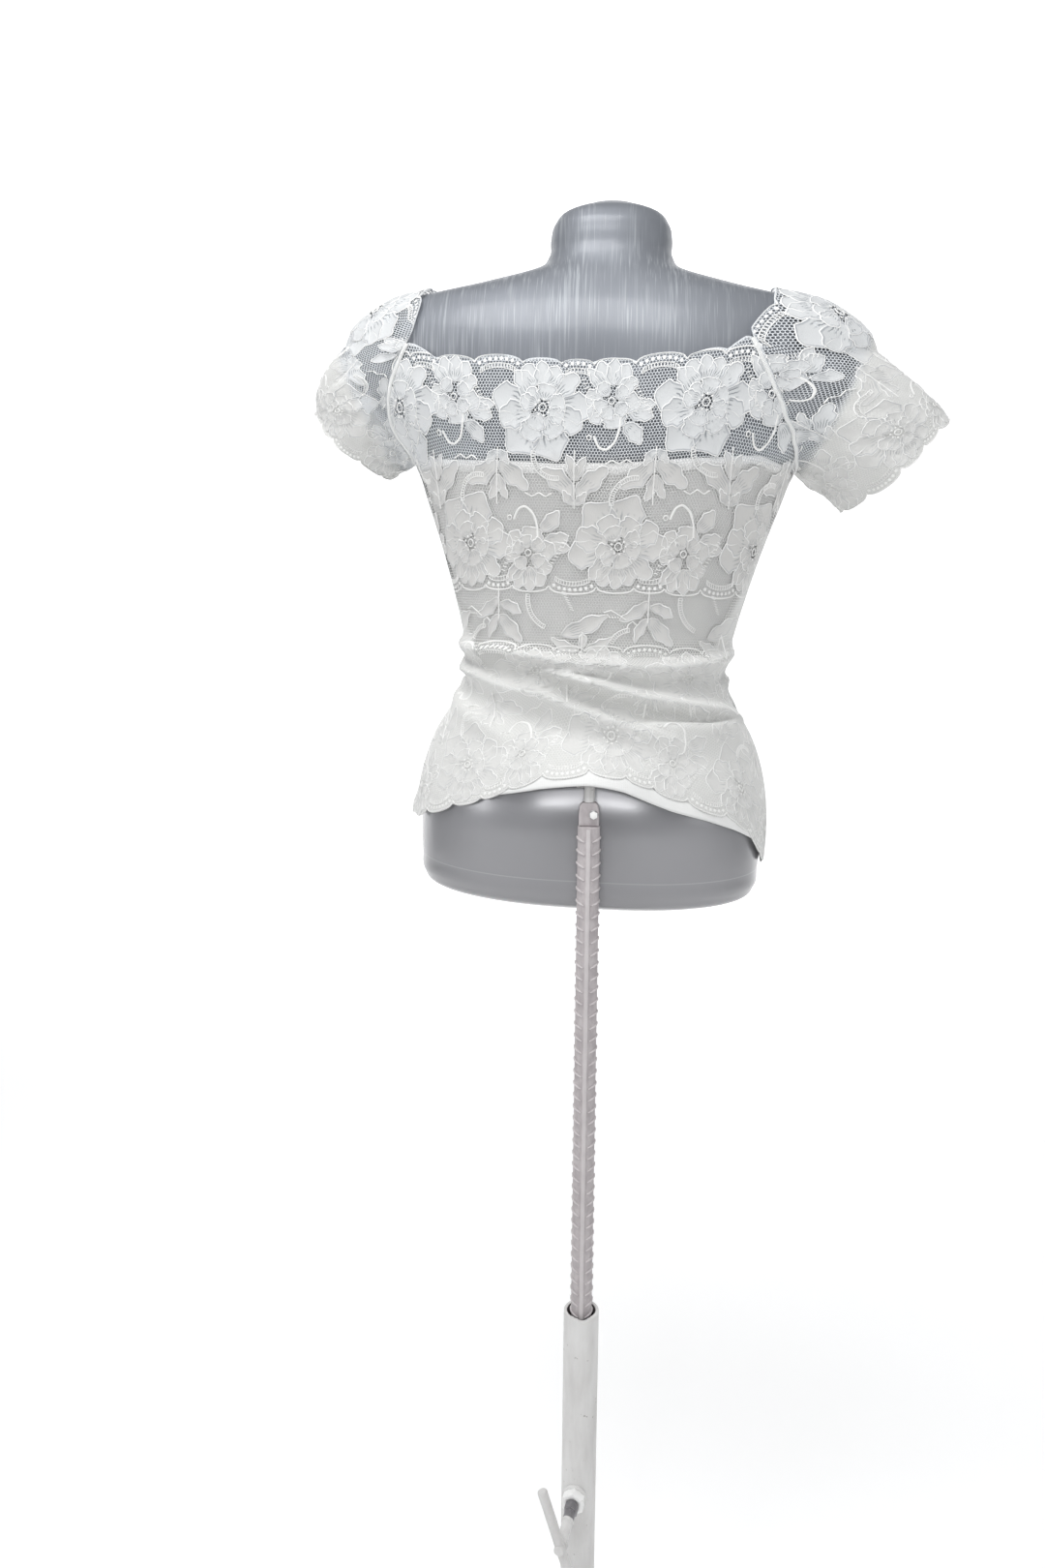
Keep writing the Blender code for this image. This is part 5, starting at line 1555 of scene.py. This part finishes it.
def tape(name, points, out, side, half_width, shift=0.0):
    """A domed strip along a line: its direction out of the cloth and its sideways one given."""
    across = np.linspace(-1, 1, 7)
    dome = 0.0005 + 0.0011 * np.cos(across * math.pi / 2) ** 0.7
    rows = (points[:, None] + side[:, None] * (across * half_width + shift)[None, :, None]
            + out[:, None] * (dome + LACE_THICK)[None, :, None])
    steps = np.linalg.norm(np.diff(points, axis=0), axis=1)
    length = np.concatenate([[0], np.cumsum(steps)])
    made = cloth_sheet(name, rows, grid_faces(len(points), len(across), False),
                       (length[:, None], across * half_width, np.ones(rows.shape[:2])),
                       TAPE, TAPE_THICK, facing=out[len(out) // 2])
    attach(made, "form")
    print(name, "length, m:", round(float(length[-1]), 3), "triangles:", triangles(made))
    return made


for side_name, (back_line, front_line) in armholes.items():
    joined_lines = [np.vstack([f, b[1:]]) for f, b in zip(front_line, back_line)]
    tape("armhole_tape_" + side_name, *joined_lines,
                                         TAPE_HALF_WIDTH, TAPE_SHIFT)
for side_name, angle in (("left", 0.0), ("right", 180.0)):
    angles = np.full(SIDE_SEAM_POINTS, angle)
    rises = np.linspace(0.388, float(along(LACE_HEM, angle)) + 0.002, SIDE_SEAM_POINTS)
    line, out = cloth(angles, rises, LACE_OUT, True), outward(angles, rises)
    aside = unit(np.cross(out, np.gradient(line, axis=0)))
    tape("side_seam_" + side_name, line, out, aside,
                                      SIDE_HALF_WIDTH)

# %% [markdown]
# ## Flat cuts
# The area and the size of each sheet are printed, with the width of the back at the bust. The
# lace is one stretch fabric, and the sleeves are cut from the same double band as the body.

def cloth_area(made):
    """Half the surface of a thin closed shell, in square metres."""
    return sum(face.area for face in made.data.polygons) / 2


for made in (lining_back, lining_front, *(net for net, _ in lace_pieces.values())):
    low, high = np.array(made.bound_box).min(axis=0), np.array(made.bound_box).max(axis=0)
    print(made.name, "area, m2:", round(cloth_area(made), 4), "height:", np.round(high - low, 3))
print("width of the back at the bust, m:", back_width(0.33))

# %% [markdown]
# ## Stand: paint and steel
# The stand is a reinforcing bar in a steel tube, both brushed over with white paint by hand. On
# the bar the paint is greyer, and it is paler on the ribs than in the hollows between them.
# Distance from the bar's middle tells the material which is which. The clamp screw, its lock
# nut and the bolt's washer are bare zinc, and the bolt's head has the whiter paint as a painted
# highlight.

# %% Finishes of the stand
def painted_steel(name, light, dull):
    recipe = Recipe(name, Coat_Weight=0.12, Coat_Roughness=0.4)
    place = recipe.object_space()
    grime = recipe.noise(place, (60, 60, 14), 4.0, 0.6)
    runs = recipe.noise(place, (260, 260, 30), 2.0)
    chips = recipe.ramp(recipe.noise(place, 240, 3.0), 0.70, 0.74)
    base = recipe.mix(recipe.ramp(grime, 0.30, 0.72), light, dull)
    return recipe.finish(recipe.mix(chips * 0.7, base, (0.30, 0.28, 0.27, 1)),
                         0.42 + grime * 0.25, runs * 0.7 - chips * 0.8, 0.0003, 0.7)


def ribbed_bar_paint():
    recipe = Recipe("ribbed_bar_paint")
    place = recipe.object_space()
    x, y, _ = recipe.parts(place)
    out = (x * x + y * y).math("SQRT")
    # 1 on the ribs and 0 in the hollows between them: the ribs are paler.
    high = recipe.ramp(out, BAR_CORE + 0.0001, BAR_OVER_RIBS - 0.0003)
    grime = recipe.noise(place, (170, 170, 80), 4.0, 0.6)
    base = recipe.mix(recipe.ramp(grime, 0.3, 0.7), (0.41, 0.375, 0.385, 1),
                      (0.52, 0.485, 0.49, 1))
    base = recipe.mix(high * 0.55, base, (0.66, 0.63, 0.63, 1))
    return recipe.finish(base, 0.62 - high * 0.15, grime, 0.0003, 0.6)


def zinc_steel():
    recipe = Recipe("zinc_steel", Metallic=0.85)
    place = recipe.object_space()
    spots = recipe.noise(place, 320, 3.0)
    base = recipe.mix(recipe.ramp(spots, 0.35, 0.65), (0.34, 0.33, 0.34, 1),
                      (0.50, 0.50, 0.51, 1))
    return recipe.finish(base, 0.36 + spots * 0.25, spots, 0.0001, 0.5)


BAR_BOTTOM, BAR_TOP = 0.150, 1.070
BAR_CORE, BAR_OVER_RIBS = 0.0094, 0.0103
HAIR_GAP = 0.0003
WHITE_PAINT = painted_steel("white_paint", (0.71, 0.705, 0.695, 1), (0.60, 0.59, 0.58, 1))
# A whiter paint: the welded nut wears it, and on the bolt's head it is a painted highlight.
WHITER_PAINT_AND_HIGHLIGHT = painted_steel("whiter_paint_and_highlight", (0.92, 0.92, 0.91, 1), (0.84, 0.83, 0.82, 1))
BAR_PAINT, ZINC = ribbed_bar_paint(), zinc_steel()
for name in ("hook_rod", "form_plate"):
    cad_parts[name].data.materials[0] = WHITE_PAINT
print("finishes:", WHITE_PAINT.name, BAR_PAINT.name, ZINC.name)

# %% [markdown]
# Each part of the stand is a primitive that is shaped in edit mode. An operator acts on all
# that is selected, so everything is deselected first, and points are chosen in code by place.

# %% Bench tools
def clear_bench():
    bpy.ops.object.select_all(action="DESELECT")


def edit_mode():
    bpy.ops.object.mode_set(mode="EDIT")


def object_mode():
    bpy.ops.object.mode_set(mode="OBJECT")


def choose(piece, test):
    """In edit mode, selects the points whose place passes a test."""
    shape = bmesh.from_edit_mesh(piece.data)
    for item in (*shape.verts, *shape.edges, *shape.faces):
        item.select = False
    for point in shape.verts:
        point.select = bool(test(point.co))
    shape.select_flush(True)
    bmesh.update_edit_mesh(piece.data)


def rounded(piece, width, segments=2, angle=35):
    """Bevels every edge that is sharper than an angle."""
    apply_modifier(piece, "BEVEL", width=width, segments=segments, limit_method="ANGLE",
                   angle_limit=math.radians(angle))


def finished(piece, name, material, body_name, slot):
    """Object mode, real place in the mesh, smooth where it is round, and riding on its body."""
    if piece.mode == "EDIT":
        object_mode()
    clear_bench()
    piece.select_set(True)
    bpy.context.view_layer.objects.active = piece
    bpy.ops.object.transform_apply(location=True, rotation=True, scale=True)
    bpy.ops.object.shade_smooth_by_angle(angle=math.radians(38))
    piece.name = piece.data.name = name
    if not piece.data.materials:
        piece.data.materials.append(material)
    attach(piece, body_name)
    print(name, "triangles:", triangles(piece))
    return piece


print("bench tools ready")

# %% [markdown]
# ## Ribbed bar
# A reinforcing bar is rolled with two long ribs and rows of crescent cross ribs, and here the
# clamp screw bites between them. One cross rib is cut from a torus, tilted, and copied up both
# sides of the bar.

# %% Bar with its ribs
RIB_PITCH, RIB_TILT = 0.0110, math.radians(27)
clear_bench()
bpy.ops.mesh.primitive_cylinder_add(vertices=40, radius=BAR_CORE, depth=BAR_TOP - BAR_BOTTOM,
                                    location=(0, 0, (BAR_TOP + BAR_BOTTOM) / 2))
core = bpy.context.object
rounded(core, 0.0008, 2, 60)
bpy.ops.mesh.primitive_cube_add(size=1, location=(0, 0, (BAR_TOP + BAR_BOTTOM) / 2))
long_rib = bpy.context.object
edit_mode()
bpy.ops.transform.resize(value=(0.0036, 2 * BAR_OVER_RIBS, BAR_TOP - BAR_BOTTOM - 0.003))
object_mode()
rounded(long_rib, 0.0004, 2)
bpy.ops.mesh.primitive_torus_add(major_radius=BAR_CORE, minor_radius=0.0011,
                                 major_segments=36, minor_segments=6, location=(0, 0, 0))
cross_rib = bpy.context.object
edit_mode()
choose(cross_rib, lambda p: p.x < BAR_CORE * math.cos(math.radians(72)))
bpy.ops.mesh.delete(type="VERT")
choose(cross_rib, lambda p: p.x < BAR_CORE * math.cos(math.radians(48)))
bpy.ops.transform.resize(value=(0.97, 0.97, 0.7), center_override=(0, 0, 0))
bpy.ops.mesh.select_all(action="SELECT")
bpy.ops.mesh.fill_holes(sides=0)
bpy.ops.mesh.normals_make_consistent(inside=False)
bpy.ops.transform.rotate(value=RIB_TILT, orient_axis="Y", center_override=(0, 0, 0))
bpy.ops.transform.resize(value=(1 / math.cos(RIB_TILT), 1, 1), center_override=(0, 0, 0))
object_mode()
ribs = []
for number in range(int((BAR_TOP - BAR_BOTTOM - 0.006) / RIB_PITCH)):
    for half_turn in (0, math.pi):
        rib = cross_rib.copy()
        rib.data = cross_rib.data.copy()
        rise = BAR_BOTTOM + 0.004 + RIB_PITCH * number
        rib.data.transform(Matrix.Translation((0, 0, rise)) @ Matrix.Rotation(half_turn, 4, "Z"))
        bpy.context.scene.collection.objects.link(rib)
        ribs.append(rib)
bpy.data.objects.remove(cross_rib)
clear_bench()
for piece in (*ribs, long_rib, core):
    piece.select_set(True)
bpy.context.view_layer.objects.active = core
bpy.ops.object.transform_apply(location=True, rotation=True, scale=True)
bpy.ops.object.join()
bar = finished(core, "bar_with_ribs", BAR_PAINT, "mast", "white_steel")
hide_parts("ribbed_bar")
print("cross ribs:", len(ribs))

# %% [markdown]
# ## Outer tube
# The tube is a piece of water pipe, sawn by hand, so its rim isn't level and dips at one place.
# An open cylinder gets its uneven rim first and its wall afterwards, so that both walls follow.

# %% Tube and its foot
TUBE_RADIUS, TUBE_WALL, TUBE_TOP, TUBE_FOOT = 0.016, 0.003, 0.620, 0.0063
clear_bench()
bpy.ops.mesh.primitive_cylinder_add(vertices=80, radius=TUBE_RADIUS, depth=TUBE_TOP - TUBE_FOOT,
                                    end_fill_type="NOTHING",
                                    location=(0, 0, (TUBE_TOP + TUBE_FOOT) / 2))
tube = bpy.context.object
bpy.ops.object.transform_apply(location=True)
edit_mode()
for centre_turn, spread, drop in ((96, 34, 0.0007), (96, 18, 0.0009), (10, 40, 0.0006),
                                  (-60, 30, 0.0004), (96, 8, 0.0005)):
    middle = math.radians(centre_turn)
    near = math.cos(math.radians(spread))
    choose(tube, lambda p: p.z > TUBE_TOP - 0.01 and
           (p.x * math.cos(middle) + p.y * math.sin(middle)) > TUBE_RADIUS * near)
    bpy.ops.transform.translate(value=(0, 0, -drop))
object_mode()
thicken(tube, TUBE_WALL)
rounded(tube, 0.0006, 2, 50)
tube.data.materials.append(WHITE_PAINT)
# The inner wall is painted near black: painted shade inside the tube.
tube.data.materials.append(Recipe("tube_inside_shade", Base_Color=(0.11, 0.1, 0.1, 1),
                                  Roughness=0.8).material)
for face in tube.data.polygons:
    inward = face.normal.x * face.center.x + face.normal.y * face.center.y < -0.3 * TUBE_RADIUS
    face.material_index = 1 if inward and face.center.z < TUBE_TOP - 0.004 else 0
finished(tube, "sawn_tube", WHITE_PAINT, "stand", "white_steel")
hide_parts("outer_tube")


def weld(name, centre, direction, ring_radius, thickness, lumps, body_name, seed):
    """A lumpy bead of weld metal round a joint."""
    clear_bench()
    bpy.ops.mesh.primitive_torus_add(major_radius=ring_radius, minor_radius=thickness,
                                     major_segments=48, minor_segments=10, location=centre,
                                     rotation=direction.to_track_quat("Z", "Y").to_euler())
    bead = bpy.context.object
    edit_mode()
    bpy.ops.mesh.select_all(action="SELECT")
    bpy.ops.transform.vertex_random(offset=lumps, seed=seed)
    bpy.ops.mesh.vertices_smooth(factor=0.5, repeat=1)
    return finished(bead, name, WHITE_PAINT, body_name, "white_steel")


weld("foot_weld", (0, 0, TUBE_FOOT + 0.0012), Vector((0, 0, 1)), TUBE_RADIUS + 0.0012, 0.0026,
     0.0011, "stand", 4)

# %% [markdown]
# ## Base
# The base is a round steel plate. Its upper edge is turned over in a soft bevel, and a shallow
# ring is pressed into it, which keeps a thin plate flat. The plate is a cylinder with an inset.

# %% Base plate
BASE_RADIUS, BASE_THICKNESS, BASE_Y = 0.210, 0.006, -0.080
clear_bench()
bpy.ops.mesh.primitive_cylinder_add(vertices=144, radius=BASE_RADIUS, depth=BASE_THICKNESS,
                                    location=(0, BASE_Y, BASE_THICKNESS / 2))
base = bpy.context.object
bpy.ops.object.transform_apply(location=True)
edit_mode()
bpy.ops.mesh.select_mode(type="FACE")
shape = bmesh.from_edit_mesh(base.data)
for face in shape.faces:
    face.select = face.normal.z > 0.9
bmesh.update_edit_mesh(base.data)
bpy.ops.mesh.inset(thickness=0.016)
bpy.ops.mesh.inset(thickness=0.002)
bpy.ops.transform.translate(value=(0, 0, -0.0008))
bpy.ops.mesh.inset(thickness=0.006)
bpy.ops.mesh.inset(thickness=0.002)
bpy.ops.transform.translate(value=(0, 0, 0.0008))
bpy.ops.mesh.select_mode(type="VERT")
object_mode()
rounded(base, 0.0014, 3, 50)
finished(base, "pressed_base", WHITE_PAINT, "stand", "white_steel")
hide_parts("base_plate")

# %% [markdown]
# ## Clamp
# A nut is welded to the tube over a hole. A screw runs through it and presses on the bar, with
# a lock nut behind it and a painted arm welded to its end, which carries the cross handle. The
# nut keeps its six flats under the paint, and the screw's thread is fine enough for the material,
# which paints light on its crests and shade in its grooves.

# %% Nut, screw and handle
CLAMP_HEIGHT, CLAMP_TURN = 0.4385, math.radians(11)
SCREW_RADIUS, HANDLE_RADIUS, HANDLE_LENGTH, HANDLE_REACH = 0.005, 0.0045, 0.110, 0.074
NUT_ACROSS_FLATS, NUT_THICKNESS, HANDLE_TILT = 0.019, 0.010, math.radians(18)
clamp_way = Vector((math.sin(CLAMP_TURN), math.cos(CLAMP_TURN), 0))
clamp_centre = Vector((0, 0, CLAMP_HEIGHT))


def clamp_point(reach):
    """A place on the screw's line, given by its distance from the bar's middle."""
    return clamp_centre + clamp_way * reach


def rod_between(start, end, radius, sides):
    """A round or six-sided bar between two points."""
    clear_bench()
    way = end - start
    bpy.ops.mesh.primitive_cylinder_add(vertices=sides, radius=radius, depth=way.length,
                                        location=(start + end) / 2,
                                        rotation=way.to_track_quat("Z", "Y").to_euler())
    return bpy.context.object


def turned_piece(name, start, end, radius, sides, rounding, *finish):
    """A bar with rounded ends, finished: its rounding is a width, a count and an angle."""
    made = rod_between(start, end, radius, sides)
    rounded(made, *rounding)
    return finished(made, name, *finish)


nut = rod_between(clamp_point(TUBE_RADIUS + HAIR_GAP),
                  clamp_point(TUBE_RADIUS + HAIR_GAP + NUT_THICKNESS),
                  NUT_ACROSS_FLATS / 2 / math.cos(math.radians(30)), 6)
edit_mode()
choose(nut, lambda p: p.z > 0)
bpy.ops.mesh.inset(thickness=0.0035)
bpy.ops.mesh.extrude_region_move(TRANSFORM_OT_translate={"value": tuple(clamp_way * -0.0010)})
object_mode()
rounded(nut, 0.0011, 3, 20)
finished(nut, "welded_nut", WHITER_PAINT_AND_HIGHLIGHT, "stand", "white_steel")
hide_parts("clamp_nut")
weld("nut_weld", clamp_point(TUBE_RADIUS + 0.0006), clamp_way, 0.0100, 0.0021, 0.0012, "stand", 9)


def threaded_steel():
    """Zinc with a turned thread along the screw: painted light on its crests, painted shade in its
    grooves.
    """
    recipe = Recipe("threaded_zinc", Metallic=0.85)
    place = recipe.object_space()
    x, y, _ = recipe.parts(place)
    along_screw = x * math.sin(CLAMP_TURN) + y * math.cos(CLAMP_TURN)
    thread = (along_screw * (2 * math.pi / 0.0015)).math("SINE") * 0.5 + 0.5
    dirt_and_glint = recipe.noise(place, 300, 3.0)
    # Pale crests and dark grooves along the thread are painted highlight and shade, stronger in
    # patches.
    base = recipe.mix(thread * 0.8 * dirt_and_glint, (0.20, 0.19, 0.20, 1), (0.55, 0.55, 0.57, 1))
    return recipe.finish(base, 0.40 + dirt_and_glint * 0.2, thread, 0.0006, 0.9)


COLLAR_END = TUBE_RADIUS + NUT_THICKNESS + 0.009
BOLT_END = TUBE_RADIUS + NUT_THICKNESS + 0.021
DARK_ZINC = threaded_steel()
BARE_CLAMP = (DARK_ZINC, "clamp", "bare_steel")
PAINTED_CLAMP = (WHITE_PAINT, "clamp", "white_steel")
screw = turned_piece("threaded_screw", clamp_point(BAR_OVER_RIBS + HAIR_GAP), clamp_point(BOLT_END),
                     SCREW_RADIUS, 32, (0.0009, 2, 60), *BARE_CLAMP)
turned_piece("lock_nut", clamp_point(TUBE_RADIUS + NUT_THICKNESS + 0.0008),
             clamp_point(COLLAR_END), SCREW_RADIUS + 0.0017, 6, (0.0008, 3, 20), *BARE_CLAMP)
turned_piece("painted_arm", clamp_point(BOLT_END - 0.004), clamp_point(HANDLE_REACH + 0.006),
             SCREW_RADIUS - 0.0003, 32, (0.0014, 3, 60), *PAINTED_CLAMP)
weld("arm_weld", clamp_point(BOLT_END - 0.0015), clamp_way, 0.0040, 0.0017, 0.0008, "clamp", 3)
across = Vector((math.cos(CLAMP_TURN), -math.sin(CLAMP_TURN), 0))
handle_way = Vector((0, 0, 1)) * math.cos(HANDLE_TILT) + across * math.sin(HANDLE_TILT)
handle_centre = clamp_point(HANDLE_REACH)
turned_piece("cross_handle", handle_centre - handle_way * HANDLE_LENGTH / 2,
             handle_centre + handle_way * HANDLE_LENGTH / 2, HANDLE_RADIUS, 28,
             (0.0016, 4, 60), *PAINTED_CLAMP)
weld("handle_weld", handle_centre + clamp_way * -0.0030, clamp_way, 0.0048, 0.0017, 0.0009,
     "clamp", 5)
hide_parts("clamp_screw")

# %% [markdown]
# ## Lug and bolt
# The bar's upper end carries a small forged lug, and a bolt through it holds the form's bent
# rod. The lug is a block with rounded shoulders, and the bolt has a six-sided head.

# %% Lug and bolt
LUG_SIZE, LUG_LOW, BOLT_X = (0.017, 0.009, 0.020), BAR_TOP + HAIR_GAP, -0.004
clear_bench()
bpy.ops.mesh.primitive_cube_add(size=1, location=(0, 0, LUG_LOW + LUG_SIZE[2] / 2))
lug = bpy.context.object
edit_mode()
bpy.ops.transform.resize(value=LUG_SIZE)
bpy.ops.mesh.subdivide(number_cuts=7)
for level in range(1, 5):
    height = LUG_SIZE[2] * level / 8
    share = math.sqrt(1 - (level / 4.6) ** 2)
    choose(lug, lambda p: abs(p.z - height) < 0.0004)
    bpy.ops.transform.resize(value=(0.45 + 0.55 * share, 1.0, 1.0))
object_mode()
rounded(lug, 0.0014, 3, 60)
finished(lug, "forged_lug", BAR_PAINT, "mast", "white_steel")
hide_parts("lug")
bolt_place = Vector((BOLT_X, LUG_SIZE[1] / 2, LUG_LOW + LUG_SIZE[2] / 2))
washer_face = bolt_place + Vector((0, 0.0008, 0))
turned_piece("bolt_washer", bolt_place, washer_face, 0.0041, 32, (0.0002, 1, 60), ZINC, "mast",
             "bare_steel")
# The bolt's head takes the whiter paint as a painted highlight.
head = turned_piece("bolt_head", washer_face, bolt_place + Vector((0, 0.0033, 0)), 0.0035, 6,
                    (0.0004, 2, 20), WHITER_PAINT_AND_HIGHLIGHT, "mast", "white_steel")
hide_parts("lug_bolt")
